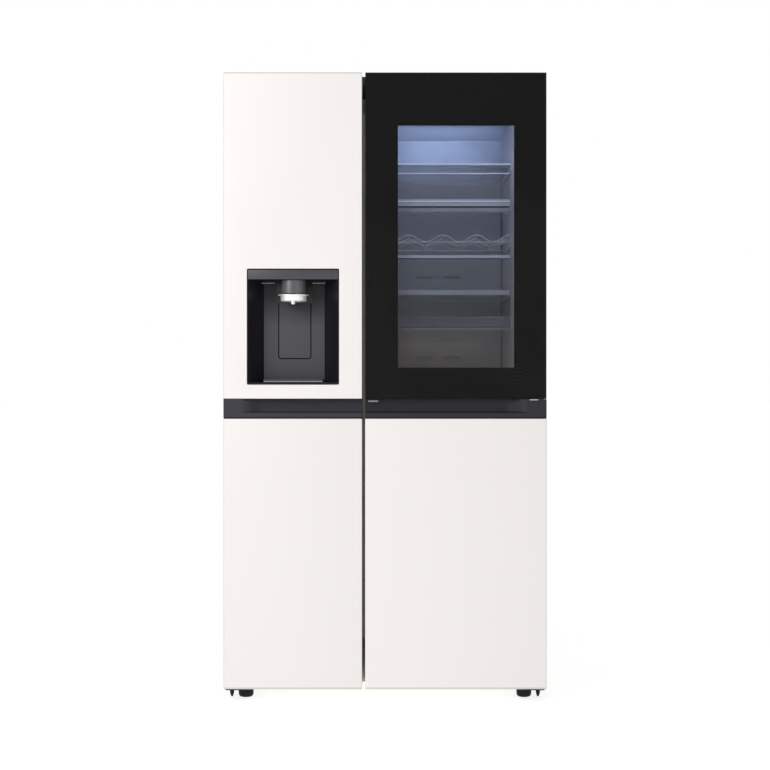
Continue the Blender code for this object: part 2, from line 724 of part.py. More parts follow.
def band(name, x, top, open_side, parent, cuts=()):
    """The dark band across a door. Its finger groove is open at the door gap and ramps out at the far end."""
    outside = box(x, (FRONT, SKIN_RETURN), (BAND_BOTTOM + CLEAR, top))
    inside_y = (BAND_BACK - CLEAR, SKIN_RETURN + 0.01)
    inside = box((x[0] + SHEET, x[1] - SHEET), inside_y, (BAND_BOTTOM - 0.01, top + 0.01))
    ramp = 0.020
    far_front = x[0] + BAND_END if open_side > 0 else x[1] - BAND_END
    near = x[1] + 0.01 if open_side > 0 else x[0] - 0.01
    deep = FRONT + GROOVE_DEPTH
    outline = [
        (near, FRONT - 0.01),
        (near, deep),
        (far_front + open_side * ramp, deep),
        (far_front, FRONT),
        (far_front, FRONT - 0.01),
    ]
    groove = prism("z", outline, LIP_TOP, top + 0.01)
    piece(name, outside, "dark_plastic", parent, cuts=[inside, groove, *cuts])


def make_freezer_door():
    parent = "freezer_door_axis"
    pivot(parent, (-HINGE_X, HINGE_Y, DOOR_BOTTOM))
    x = (-HALF_WIDTH, FREEZER_DOOR_RIGHT)
    core_x = (x[0] + SHEET + CLEAR, x[1] - SHEET - CLEAR)
    core_z = (DOOR_BOTTOM + SHEET + CLEAR, DOOR_TOP - SHEET - CLEAR)
    pocket = box(
        (DISPENSER_X[0] - CLEAR, DISPENSER_X[1] + CLEAR),
        (FRONT - 0.01, DISPENSER_BACK + CLEAR),
        (DISPENSER_Z[0] - CLEAR, DISPENSER_Z[1] + CLEAR),
    )
    across = (x[0] - 0.01, x[1] + 0.01)
    band_z = (BAND_BOTTOM - SHEET - CLEAR, BAND_TOP + SHEET + CLEAR)
    band_room = box(across, (FRONT - 0.01, BAND_BACK), band_z)
    cap = box(across, (CAP_FRONT, DOOR_BACK + 0.01), (CAP_Z, DOOR_TOP + 0.01))
    pin_holes = [
        rod((-HINGE_X, HINGE_Y, 0), PIN_R + 0.0004, CAP_Z - 0.022, DOOR_TOP),
        rod((-HINGE_X, HINGE_Y, 0), PIN_R + 0.0004, DOOR_BOTTOM - 0.01, 0.060),
    ]
    core = box(core_x, (FRONT + SHEET + CLEAR, DOOR_BACK), core_z)
    piece("freezer_door_core", core, "white_plastic", parent, cuts=[pocket, band_room, cap, *pin_holes])

    window = box(DISPENSER_X, (FRONT - 0.01, FRONT + 0.01), DISPENSER_Z)
    door_skin("freezer_upper_panel", x, (BAND_TOP, DOOR_TOP), parent, cuts=[window], top_cap=True)
    skin_pin_hole = rod((-HINGE_X, HINGE_Y, 0), PIN_R + 0.0004, DOOR_BOTTOM - 0.01, 0.060)
    door_skin("freezer_lower_panel", x, (DOOR_BOTTOM, BAND_BOTTOM), parent, cuts=[skin_pin_hole])
    band("freezer_handle", x, BAND_TOP - CLEAR, 1, parent)
    seal_y = (DOOR_BACK + CLEAR, CASE_FRONT - CLEAR)
    ring("freezer_gasket", (x[0] + 0.015, x[1] - 0.0025), seal_y, (0.125, 1.717), 0.017, "rubber", parent)

    for number, z in enumerate(FREEZER_DOOR_BASKET_Z, 1):
        outside, inside = bin_shape((-0.365, -0.117), (DOOR_BACK + CLEAR, -0.165), (z, z + 0.110), 0.003)
        piece(f"freezer_door_basket_{number}", outside, "clear_plastic", parent, cuts=[inside])
    maker = box((-0.360, -0.122), (DOOR_BACK + CLEAR, -0.175), (1.260, 1.620))
    chute = box((-0.300, -0.220), (-0.250, -0.190), (1.25, 1.30))
    piece("ice_maker", maker, "white_plastic", parent, cuts=[chute])


def make_dispenser():
    parent = "freezer_door_axis"
    tub = box(
        (DISPENSER_X[0] + CLEAR, DISPENSER_X[1] - CLEAR),
        (FRONT, DISPENSER_BACK),
        (DISPENSER_Z[0] + CLEAR, DISPENSER_Z[1] - CLEAR),
    )
    recess = loft(RECESS_FRONT_X, RECESS_Z, RECESS_BACK_X, RECESS_Z, FRONT, RECESS_BACK)
    mouth = box(RECESS_FRONT_X, (FRONT - 0.01, FRONT + 0.0005), RECESS_Z)
    gap = 0.0015
    lever_pocket = box(
        (LEVER_X[0] - gap, LEVER_X[1] + gap),
        (RECESS_BACK - 0.005, RECESS_BACK + LEVER_SWING_SPACE),
        (LEVER_Z[0] - gap, LEVER_Z[1] + 0.004),
    )
    piece("dispenser_housing", tub, "dark_plastic", parent, cuts=[recess, mouth, lever_pocket])

    place = (NOZZLE_X, NOZZLE_Y, 0)
    bore = 0.020
    top = RECESS_Z[1] - CLEAR
    barrel = [(bore, NOZZLE_BOTTOM), (NOZZLE_R, NOZZLE_BOTTOM), (NOZZLE_R, top), (bore, top)]
    shape = turned(barrel, (0, 0, 0), segments=32, stretch=NOZZLE_HALF_WIDTH / NOZZLE_R)
    bmesh.ops.translate(shape, vec=place, verts=shape.verts)
    piece("dispenser_nozzle", shape, "dark_plastic", parent, smooth=True)

    low, high = COLLAR_Z
    flange_z = high - 0.0025
    bore = 0.0240
    collar = [
        (bore, low),
        (COLLAR_R - 0.0025, low),
        (COLLAR_R, low + 0.0020),
        (COLLAR_R, flange_z - 0.0010),
        (COLLAR_R + 0.0005, flange_z),
        (COLLAR_R + 0.0005, high),
        (bore, high),
    ]
    shape = turned(collar, (0, 0, 0), segments=32)
    for v in shape.verts:
        half_width = FLANGE_HALF_WIDTH if v.co.z > flange_z - 0.0005 else COLLAR_HALF_WIDTH
        if v.co.xy.length > 0.028:
            v.co.x *= half_width / COLLAR_R
    bmesh.ops.translate(shape, vec=place, verts=shape.verts)
    spout = rod((NOZZLE_X, NOZZLE_Y - 0.0265, 0), SPOUT_R, low - 0.0090, low + 0.0060)
    piece("dispenser_collar", shape, "chrome", parent, joins=[spout], smooth=True)

    hinge_y = RECESS_BACK + LEVER_THICKNESS / 2
    pivot("dispenser_lever_axis", (NOZZLE_X, hinge_y, LEVER_Z[1]), parent)
    lever = box(LEVER_X, (RECESS_BACK, RECESS_BACK + LEVER_THICKNESS), LEVER_Z)
    piece("dispenser_lever", lever, "dark_plastic", "dispenser_lever_axis")

    pivot("drip_tray_axis", (NOZZLE_X, FRONT, RECESS_Z[0]), parent)
    floor = RECESS_Z[0] + CLEAR
    tray_y = (FRONT + 0.003, RECESS_BACK - 0.002)
    outside, inside = bin_shape(TRAY_X, tray_y, (floor, floor + TRAY_HEIGHT), 0.002)
    piece("drip_tray", outside, "dark_plastic", "drip_tray_axis", cuts=[inside])


def make_fridge_door():
    parent = "fridge_door_axis"
    pivot(parent, (HINGE_X, HINGE_Y, DOOR_BOTTOM))
    x = (FRIDGE_DOOR_LEFT, HALF_WIDTH)
    core_x = (x[0] + SHEET + CLEAR, x[1] - SHEET - CLEAR)
    step = OUTER_BOTTOM - 0.0008
    across = (x[0] - 0.01, x[1] + 0.01)
    band_z = (BAND_BOTTOM - SHEET - CLEAR, step + 0.01)
    band_room = box(across, (FRONT - 0.01, BAND_BACK), band_z)
    outer_room = box(across, (FRONT - 0.01, INNER_FRONT), (step, DOOR_TOP + 0.01))
    niche = box(NICHE_X, (INNER_FRONT - 0.01, DOOR_BACK + 0.01), NICHE_Z)
    hinge_seat = box((0.4060, x[1] + 0.01), (BAND_BACK - 0.01, INNER_FRONT), (0.8520, step + 0.01))
    pin_holes = [
        rod((HINGE_X, HINGE_Y, 0), PIN_R + 0.0004, CAP_Z - 0.022, DOOR_TOP),
        rod((HINGE_X, HINGE_Y, 0), PIN_R + 0.0004, DOOR_BOTTOM - 0.01, 0.060),
    ]
    case_wall = 0.006
    case_back = -0.180
    case_x = (NICHE_X[0] - case_wall, NICHE_X[1] + case_wall)
    case_y = (DOOR_BACK - 0.002, case_back)
    case_z = (NICHE_Z[0] - case_wall, NICHE_Z[1])
    joins = [
        box((case_x[0], NICHE_X[0]), case_y, case_z),
        box((NICHE_X[1], case_x[1]), case_y, case_z),
        box(case_x, case_y, (case_z[0], NICHE_Z[0] - 0.001)),
    ]
    core = box(core_x, (FRONT + SHEET + CLEAR, DOOR_BACK), (DOOR_BOTTOM + SHEET + CLEAR, CAP_Z))
    cuts = [band_room, outer_room, niche, hinge_seat, *pin_holes]
    piece("fridge_door_core", core, "white_plastic", parent, joins=joins, cuts=cuts)

    skin_pin_hole = rod((HINGE_X, HINGE_Y, 0), PIN_R + 0.0004, DOOR_BOTTOM - 0.01, 0.060)
    door_skin("fridge_lower_panel", x, (DOOR_BOTTOM, BAND_BOTTOM), parent, cuts=[skin_pin_hole])
    seat = box((0.4060, x[1] + 0.01), (FRONT + 0.0075, SKIN_RETURN + 0.01), (0.8520, BAND_TOP))
    band("fridge_handle", x, step, -1, parent, cuts=[seat])
    seal_y = (DOOR_BACK + CLEAR, CASE_FRONT - CLEAR)
    ring("fridge_gasket", (x[0] + 0.0025, x[1] - 0.015), seal_y, (0.125, 1.717), 0.017, "rubber", parent)

    basket_x = (NICHE_X[0] + 0.001, NICHE_X[1] - 0.001)
    for number, z in enumerate(DOOR_BASKETS, 1):
        outside, inside = bin_shape(basket_x, (INNER_FRONT + 0.0075, -0.185), z, BIN_WALL)
        piece(f"door_basket_{number}", outside, "clear_plastic", parent, cuts=[inside])

    place = (OUTER_HINGE_X, OUTER_HINGE_Y, 0)
    upper_z = (CAP_Z + 0.0005, CAP_Z + 0.0035)
    upper = box((0.4265, 0.4535), (OUTER_HINGE_Y - 0.007, INNER_FRONT + 0.017), upper_z)
    lower = box((0.4085, 0.4535), (FRONT + 0.0085, INNER_FRONT - 0.0005), (0.8525, 0.8555))
    upper_pin = rod(place, OUTER_PIN_R, CAP_Z - 0.016, CAP_Z + 0.002)
    lower_pin = rod(place, OUTER_PIN_R, 0.8540, 0.8720)
    piece("outer_door_hinge_top", upper, "zinc", parent, joins=[upper_pin])
    piece("outer_door_hinge_bottom", lower, "zinc", parent, joins=[lower_pin])


def make_outer_door():
    parent = "outer_door_axis"
    pivot(parent, (OUTER_HINGE_X, OUTER_HINGE_Y, OUTER_BOTTOM), "fridge_door_axis")
    x = (FRIDGE_DOOR_LEFT, HALF_WIDTH)
    z = (OUTER_BOTTOM, DOOR_TOP)
    glass_y = (FRONT, FRONT + GLASS)
    piece("outer_door_glass", box(x, glass_y, z), "smoked_glass", parent)

    frame_front = FRONT + GLASS + CLEAR
    # The frame's opening is a little larger than the clear part of the glass.
    reveal = 0.005
    frame_x = (WINDOW_X[0] - reveal, WINDOW_X[1] + reveal)
    frame_z = (WINDOW_Z[0] - reveal, WINDOW_Z[1] + reveal)
    window = ring_cut(frame_x, (frame_front, OUTER_BACK), frame_z)
    margin = 0.010
    pane_x = (WINDOW_X[0] - margin, WINDOW_X[1] + margin)
    pane_z = (WINDOW_Z[0] - margin, WINDOW_Z[1] + margin)
    rebate = box(pane_x, (OUTER_BACK - GLASS - CLEAR, OUTER_BACK + 0.01), pane_z)
    cap = box((x[0] - 0.01, x[1] + 0.01), (CAP_FRONT, OUTER_BACK + 0.01), (CAP_Z, DOOR_TOP + 0.01))
    place = (OUTER_HINGE_X, OUTER_HINGE_Y, 0)
    holes = [
        rod(place, OUTER_PIN_R + 0.0004, CAP_Z - 0.020, DOOR_TOP),
        rod(place, OUTER_PIN_R + 0.0004, OUTER_BOTTOM - 0.01, 0.876),
    ]
    slack = 0.0005
    button_room = box(
        (BUTTON_X[0] - slack, BUTTON_X[1] + slack),
        (BUTTON_Y[0] - slack, BUTTON_Y[1] + slack),
        (OUTER_BOTTOM - 0.01, BUTTON_Z[1] + BUTTON_TRAVEL + 0.0015),
    )
    frame = box((x[0] + 0.0005, x[1] - 0.0005), (frame_front, OUTER_BACK), (z[0] + 0.0002, z[1] - 0.0005))
    piece("outer_door_frame", frame, "black_plastic", parent, cuts=[window, rebate, cap, *holes, button_room])

    pane = box(
        (pane_x[0] + CLEAR, pane_x[1] - CLEAR),
        (OUTER_BACK - GLASS, OUTER_BACK),
        (pane_z[0] + CLEAR, pane_z[1] - CLEAR),
    )
    piece("inner_window_pane", pane, "clear_glass", parent)
    seal_y = (OUTER_BACK + CLEAR, INNER_FRONT - CLEAR)
    ring("outer_door_gasket", (-0.030, 0.392), seal_y, (0.885, 1.717), 0.012, "rubber", parent)

    middle = (BUTTON_X[0] + BUTTON_X[1]) / 2
    pivot("release_button_axis", (middle, BUTTON_Y[0], OUTER_BOTTOM), parent)
    piece("release_button", box(BUTTON_X, BUTTON_Y, BUTTON_Z), "chrome", "release_button_axis")


def main():
    for obj in list(bpy.data.objects):
        bpy.data.objects.remove(obj)
    make_case()
    make_top_cover()
    make_main_hinges()
    make_base()
    for side, word in ((-1, "left"), (1, "right")):
        make_foot(f"levelling_foot_{word}", side)
        make_roller(f"rear_roller_{word}", side)
    make_machine_room()
    make_fan()
    make_freezer_inside()
    make_fridge_inside()
    make_freezer_door()
    make_dispenser()
    make_fridge_door()
    make_outer_door()


main()
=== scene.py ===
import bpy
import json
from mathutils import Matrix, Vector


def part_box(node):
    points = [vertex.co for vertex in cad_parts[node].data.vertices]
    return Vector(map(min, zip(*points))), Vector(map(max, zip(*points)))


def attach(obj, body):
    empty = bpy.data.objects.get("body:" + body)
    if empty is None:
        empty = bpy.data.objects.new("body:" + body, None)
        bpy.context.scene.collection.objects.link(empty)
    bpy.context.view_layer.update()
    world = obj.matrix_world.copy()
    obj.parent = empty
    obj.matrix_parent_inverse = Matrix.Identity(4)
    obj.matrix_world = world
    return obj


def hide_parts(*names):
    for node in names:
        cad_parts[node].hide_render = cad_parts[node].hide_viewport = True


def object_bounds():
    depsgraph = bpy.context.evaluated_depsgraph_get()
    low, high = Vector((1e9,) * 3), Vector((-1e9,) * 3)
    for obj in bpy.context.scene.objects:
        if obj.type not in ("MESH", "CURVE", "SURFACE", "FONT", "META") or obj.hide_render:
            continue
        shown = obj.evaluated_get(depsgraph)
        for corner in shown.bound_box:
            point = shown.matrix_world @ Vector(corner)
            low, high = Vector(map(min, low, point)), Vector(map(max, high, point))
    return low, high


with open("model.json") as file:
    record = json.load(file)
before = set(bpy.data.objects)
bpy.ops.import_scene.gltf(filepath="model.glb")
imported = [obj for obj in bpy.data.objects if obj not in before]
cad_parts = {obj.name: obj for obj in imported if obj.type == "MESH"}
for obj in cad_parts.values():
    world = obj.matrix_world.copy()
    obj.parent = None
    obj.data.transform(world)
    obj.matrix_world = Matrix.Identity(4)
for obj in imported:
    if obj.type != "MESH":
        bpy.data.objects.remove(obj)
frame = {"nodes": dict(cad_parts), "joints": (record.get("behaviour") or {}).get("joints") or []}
cad_bounds = [list(corner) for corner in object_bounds()]

import json
import math

import bmesh
import bpy
from mathutils import Vector

# Sizes that the looks add to the CAD's own, in metres
SHEET = 0.001  # a door skin's thickness
PANEL_EDGE = 0.0022  # outer radius where a door's sheet is folded
HAIR = 0.0003  # a gap that keeps two faces apart
REACH = 0.01  # how far a cutter stands out of what it cuts
TUB_CORNER = 0.004
LEVER_GAP = 0.0027
BIN_WALL = 0.003
BAND_BACK = 0.0365  # depth of the solid part of a handle band
BAND_LIP = 0.0167  # height of a handle band's lip above its bottom
GROOVE_STATIONS = 24
BARREL_WIDTH = 1.08
FLUTES = 24
FLUTE_DEPTH = 0.022  # as a share of a foot's radius

# The camera stands level in front of the doors
CAMERA_DISTANCE = 4.30
CAMERA_HEIGHT = 0.8966
VIEW_WIDTH = 2.1745
SENSOR = 36.0


# ---------------------------------------------------------------- shapes


def extents(node):
    """A CAD node's (x0, x1), (y0, y1), (z0, z1)."""
    low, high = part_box(node)
    return tuple(zip(low, high))


def shrunk(span, gap):
    """A span made shorter by a gap at both ends."""
    return span[0] + gap, span[1] - gap


def box(x, y, z):
    bm = bmesh.new()
    bmesh.ops.create_cube(bm, size=1.0)
    bmesh.ops.scale(bm, vec=(x[1] - x[0], y[1] - y[0], z[1] - z[0]), verts=bm.verts)
    bmesh.ops.translate(bm, vec=((x[0] + x[1]) / 2, (y[0] + y[1]) / 2, (z[0] + z[1]) / 2), verts=bm.verts)
    return bm


def placed(axis, pair, along):
    """A point from its place in the two other axes, in X, Y, Z order, and along one axis."""
    values = list(pair)
    values.insert("xyz".index(axis), along)
    return values


def shell(loops, closed=False):
    """Faces between loops of points, with capped ends, or back round to the first loop."""
    bm = bmesh.new()
    rows = [[bm.verts.new(point) for point in loop] for loop in loops]
    if not closed:
        bm.faces.new(rows[0])
        bm.faces.new(rows[-1])
    for near, far in zip(rows, rows[1:] + rows[:closed]):
        for k in range(len(near)):
            after = (k + 1) % len(near)
            bm.faces.new((near[k], near[after], far[after], far[k]))
    bmesh.ops.recalc_face_normals(bm, faces=bm.faces)
    return bm


def prism(axis, outline, start, end):
    """An outline in the two other axes, in X, Y, Z order, extruded along one axis."""
    return shell([[placed(axis, pair, along) for pair in outline] for along in (start, end)])


def slab(axis, a, b, start, end, radius, steps=5):
    """A rectangle with rounded corners, extruded along one axis."""
    return prism(axis, rounded(rectangle(a, b), radius, steps), start, end)


def ring(axis, a, b, along, outer, inner):
    """A flat rectangular ring, from outer to inner metres inside the extents a and b."""
    loops = []
    for inset, level in ((outer, along[0]), (inner, along[0]), (inner, along[1]), (outer, along[1])):
        corners = rectangle(shrunk(a, inset), shrunk(b, inset))
        loops.append([placed(axis, corner, level) for corner in corners])
    return shell(loops, True)


def turned(profile, centre, axis="z", segments=48):
    """A closed profile of (radius, height) points spun round an axis through centre."""
    bm = bmesh.new()
    rings = []
    for radius, height in profile:
        count = segments if radius > 0 else 1
        turns = [2 * math.pi * k / segments for k in range(count)]
        rings.append([bm.verts.new((radius * math.cos(a), radius * math.sin(a), height)) for a in turns])
    for lower, upper in zip(rings, rings[1:] + rings[:1]):
        if len(lower) == 1 and len(upper) == 1:
            continue
        for k in range(segments):
            after = (k + 1) % segments
            if len(lower) == 1:
                bm.faces.new((lower[0], upper[k], upper[after]))
            elif len(upper) == 1:
                bm.faces.new((lower[k], lower[after], upper[0]))
            else:
                bm.faces.new((lower[k], lower[after], upper[after], upper[k]))
    for v in bm.verts:
        x, y, z = v.co
        if axis == "x":
            v.co = (z, x, y)
        elif axis == "y":
            v.co = (y, z, x)
        v.co += Vector(centre)
    bmesh.ops.recalc_face_normals(bm, faces=bm.faces)
    return bm


def rounded(corners, radius, steps=5):
    """The corners of a convex rectangle as arcs, with one radius or one for each."""
    outline = []
    count = len(corners)
    for k, corner in enumerate(corners):
        r = radius[k] if isinstance(radius, (list, tuple)) else radius
        here = Vector(corner)
        before = (Vector(corners[k - 1]) - here).normalized()
        after = (Vector(corners[(k + 1) % count]) - here).normalized()
        if r == 0:
            outline.append(tuple(here))
            continue
        centre = here + (before + after) * r
        for step in range(steps + 1):
            turn = math.pi / 2 * step / steps
            outline.append(tuple(centre - after * r * math.cos(turn) - before * r * math.sin(turn)))
    return outline


def rectangle(a, b):
    """The corners of a rectangle from its extents along two axes."""
    return [(a[0], b[0]), (a[1], b[0]), (a[1], b[1]), (a[0], b[1])]


def joined(*shapes):
    """Several bmeshes in one."""
    whole = bmesh.new()
    for bm in shapes:
        mesh = bpy.data.meshes.new("shape")
        bm.to_mesh(mesh)
        bm.free()
        whole.from_mesh(mesh)
        bpy.data.meshes.remove(mesh)
    return whole


def tube(points, radius, sides=10):
    """A round wire through points, with closed ends."""
    curve = bpy.data.curves.new("wire", "CURVE")
    curve.dimensions = "3D"
    curve.bevel_depth = radius
    curve.bevel_resolution = max(0, sides // 2 - 2)
    curve.use_fill_caps = True
    spline = curve.splines.new("POLY")
    spline.points.add(len(points) - 1)
    for place, point in zip(points, spline.points):
        point.co = (*place, 1)
    obj = bpy.data.objects.new("wire", curve)
    bpy.context.scene.collection.objects.link(obj)
    mesh = bpy.data.meshes.new_from_object(obj.evaluated_get(bpy.context.evaluated_depsgraph_get()))
    bm = bmesh.new()
    bm.from_mesh(mesh)
    bpy.data.objects.remove(obj)
    bpy.data.curves.remove(curve)
    bpy.data.meshes.remove(mesh)
    return bm


def add_bevel(obj, width, segments=3, angle=35):
    modifier = obj.modifiers.new("edges", "BEVEL")
    modifier.width = width
    modifier.segments = segments
    modifier.limit_method = "ANGLE"
    modifier.angle_limit = math.radians(angle)
    modifier.use_clamp_overlap = True
    modifier.harden_normals = False
    return modifier


def cut(obj, *cutters, operation="DIFFERENCE"):
    """Takes shapes away from an object now, and leaves no modifier."""
    helpers = []
    for bm in cutters:
        mesh = bpy.data.meshes.new("cutter")
        bm.to_mesh(mesh)
        bm.free()
        helper = bpy.data.objects.new("cutter", mesh)
        bpy.context.scene.collection.objects.link(helper)
        modifier = obj.modifiers.new("cut", "BOOLEAN")
        modifier.operation = operation
        modifier.object = helper
        helpers.append(helper)
    settle(obj)
    for helper in helpers:
        bpy.data.objects.remove(helper)


def settle(obj):
    """Makes an object's modifiers part of its mesh."""
    bpy.context.view_layer.update()
    evaluated = obj.evaluated_get(bpy.context.evaluated_depsgraph_get())
    mesh = bpy.data.meshes.new_from_object(evaluated)
    materials = [slot.material for slot in obj.material_slots]
    obj.modifiers.clear()
    old = obj.data
    obj.data = mesh
    bpy.data.meshes.remove(old)
    if not mesh.materials:
        for material in materials:
            mesh.materials.append(material)


def piece(name, bm, material, body, replaces=(), bevel=0.0, edge=0.0, smooth=35):
    """One visible piece that rides on a CAD body. bevel rounds its edges in three steps, edge in two."""
    mesh = bpy.data.meshes.new(name)
    bm.to_mesh(mesh)
    bm.free()
    mesh.materials.append(M[material])
    obj = bpy.data.objects.new(name, mesh)
    bpy.context.scene.collection.objects.link(obj)
    if bevel or edge:
        add_bevel(obj, bevel or edge, 3 if bevel else 2)
        settle(obj)
    soften(obj, smooth)
    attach(obj, body)
    if replaces:
        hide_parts(*replaces)
    return obj


def soften(obj, angle=35):
    """Smooth shading except across edges sharper than the angle."""
    obj.data.shade_smooth()
    obj.data.set_sharp_from_angle(angle=math.radians(angle))


def dress(node, material, bevel=0.0):
    """A kept CAD node gets its material and softened edges."""
    obj = frame["nodes"][node]
    for slot in obj.material_slots:
        slot.material = M[material]
    if bevel:
        weld = obj.modifiers.new("weld", "WELD")
        weld.merge_threshold = 0.00001
        add_bevel(obj, bevel, 2, 50)


# ---------------------------------------------------------------- materials


class Nodes:
    """Short names for adding and linking one material's nodes."""

    def __init__(self, material):
        self.tree = material.node_tree
        self.place = self.add("ShaderNodeTexCoord").outputs["Object"]

    def add(self, kind, **values):
        node = self.tree.nodes.new(kind)
        for key, value in values.items():
            setattr(node, key, value)
        return node

    def link(self, source, target):
        self.tree.links.new(source, target)

    def noise(self, scale, detail=3.0, stretch=(1, 1, 1)):
        """Values round 0.5, that change every 1 / scale metres."""
        mapping = self.add("ShaderNodeMapping")
        mapping.inputs["Scale"].default_value = stretch
        self.link(self.place, mapping.inputs["Vector"])
        texture = self.add("ShaderNodeTexNoise")
        texture.inputs["Scale"].default_value = scale
        texture.inputs["Detail"].default_value = detail
        self.link(mapping.outputs["Vector"], texture.inputs["Vector"])
        return texture.outputs["Fac"]

    def cells(self, scale, feature="F1"):
        texture = self.add("ShaderNodeTexVoronoi", feature=feature)
        texture.inputs["Scale"].default_value = scale
        self.link(self.place, texture.inputs["Vector"])
        return texture

    def blend(self, factor, a, b, sharp=(0.3, 0.7)):
        """A colour between a and b by a factor, whose range sharp is stretched to 0 to 1."""
        spread = self.spread(factor, sharp, (0.0, 1.0))
        mix = self.add("ShaderNodeMix", data_type="RGBA")
        self.link(spread, mix.inputs[0])
        mix.inputs[6].default_value = (*a, 1)
        mix.inputs[7].default_value = (*b, 1)
        return mix.outputs[2]

    def spread(self, source, before, after):
        node = self.add("ShaderNodeMapRange")
        node.inputs["From Min"].default_value = before[0]
        node.inputs["From Max"].default_value = before[1]
        node.inputs["To Min"].default_value = after[0]
        node.inputs["To Max"].default_value = after[1]
        self.link(source, node.inputs["Value"])
        return node.outputs["Result"]

    def bump(self, height, distance, strength=1.0, under=None):
        node = self.add("ShaderNodeBump")
        node.inputs["Distance"].default_value = distance
        node.inputs["Strength"].default_value = strength
        self.link(height, node.inputs["Height"])
        if under is not None:
            self.link(under, node.inputs["Normal"])
        return node.outputs["Normal"]


def shade(colour, share):
    return tuple(channel * share for channel in colour)


SOCKETS = {"specular": "Specular IOR Level"}  # short names for the shader's sockets


def glow(colour, strength):
    return {"Emission Color": (*colour, 1), "Emission Strength": strength}


def surface(name, colour, roughness, vary=0.04, patch=3.0, grain=900.0, depth=0.00001, wander=0.06,
        stretch=(1, 1, 1),
            **fixed):
    """vary and patch are the colour's spread and patches per metre, grain and depth the bump."""
    material = bpy.data.materials.new(name)
    material.use_nodes = True
    nodes = Nodes(material)
    shader = material.node_tree.nodes["Principled BSDF"]
    for socket, value in fixed.items():
        shader.inputs[SOCKETS.get(socket, socket)].default_value = value
    colours = nodes.blend(nodes.noise(patch), shade(colour, 1 - vary), shade(colour, 1 + vary))
    nodes.link(colours, shader.inputs["Base Color"])
    rough = nodes.spread(nodes.noise(patch * 9), (0.3, 0.7),
            (max(0.01, roughness - wander), roughness + wander))
    nodes.link(rough, shader.inputs["Roughness"])
    height = nodes.noise(grain, 2.0, stretch)
    nodes.link(nodes.bump(height, depth), shader.inputs["Normal"])
    return material


def painted_shade_graded(name, dark, light, low, high, roughness):
    """A moulded finish with painted shade: its colour falls from light to dark between two heights, darker
    high up, as shade under a recess's top.
    """
    material = surface(name, light, roughness, 0.04, 4.0, 1600.0, 0.00001, 0.05, specular=0.35)
    nodes = Nodes(material)
    shader = material.node_tree.nodes["Principled BSDF"]
    place = nodes.add("ShaderNodeSeparateXYZ")
    nodes.link(nodes.place, place.inputs["Vector"])
    fall = nodes.spread(place.outputs["Z"], (low, high), (0.3, 0.7))
    nodes.link(nodes.blend(fall, light, dark), shader.inputs["Base Color"])
    return material


def rolled(name, colour, edge, roughness, vary, patch, grain, depth, wander, **sockets):
    """A door skin's paint with painted shade: it turns greyer towards the outer edges of the pair of doors,
    where the rolled edges look shaded.
    """
    material = surface(name, colour, roughness, vary, patch, grain, depth, wander, **sockets)
    nodes = Nodes(material)
    shader = material.node_tree.nodes["Principled BSDF"]
    painted = shader.inputs["Base Color"].links[0].from_socket
    place = nodes.add("ShaderNodeSeparateXYZ")
    nodes.link(nodes.place, place.inputs["Vector"])
    across = nodes.add("ShaderNodeMath", operation="ABSOLUTE")
    nodes.link(place.outputs["X"], across.inputs[0])
    side = extents("fridge_lower_panel")[0][1]
    bottom = extents("fridge_lower_panel")[2][0]
    top = extents("freezer_upper_panel")[2][1]
    # masks of the doors' outer sides, bottom and top, where painted shade greys the paint
    ends = [
        nodes.spread(across.outputs["Value"], (side - 0.0030, side - 0.0006), (0.0, 1.0)),
        nodes.spread(place.outputs["Z"], (bottom + 0.0070, bottom + 0.0030), (0.0, 1.0)),
        nodes.spread(place.outputs["Z"], (top - 0.0050, top - 0.0020), (0.0, 1.0)),
    ]
    nearest = ends[0]
    for end in ends[1:]:
        larger = nodes.add("ShaderNodeMath", operation="MAXIMUM")
        nodes.link(nearest, larger.inputs[0])
        nodes.link(end, larger.inputs[1])
        nearest = larger.outputs["Value"]
    mix = nodes.add("ShaderNodeMix", data_type="RGBA")
    nodes.link(nearest, mix.inputs[0])
    nodes.link(painted, mix.inputs[6])
    mix.inputs[7].default_value = (*shade(colour, edge), 1)
    nodes.link(mix.outputs[2], shader.inputs["Base Color"])
    return material


def galvanised(name):
    """Zinc-coated steel with its flat crystals."""
    material = bpy.data.materials.new(name)
    material.use_nodes = True
    nodes = Nodes(material)
    shader = material.node_tree.nodes["Principled BSDF"]
    shader.inputs["Metallic"].default_value = 0.85
    flakes = nodes.cells(170.0)
    grey = nodes.add("ShaderNodeRGBToBW")
    nodes.link(flakes.outputs["Color"], grey.inputs["Color"])
    colours = nodes.blend(grey.outputs["Val"], (0.44, 0.45, 0.46), (0.54, 0.55, 0.56), (0.2, 0.8))
    nodes.link(colours, shader.inputs["Base Color"])
    nodes.link(nodes.spread(grey.outputs["Val"], (0.2, 0.8), (0.34, 0.52)), shader.inputs["Roughness"])
    nodes.link(nodes.bump(nodes.noise(500.0), 0.00002), shader.inputs["Normal"])
    return material


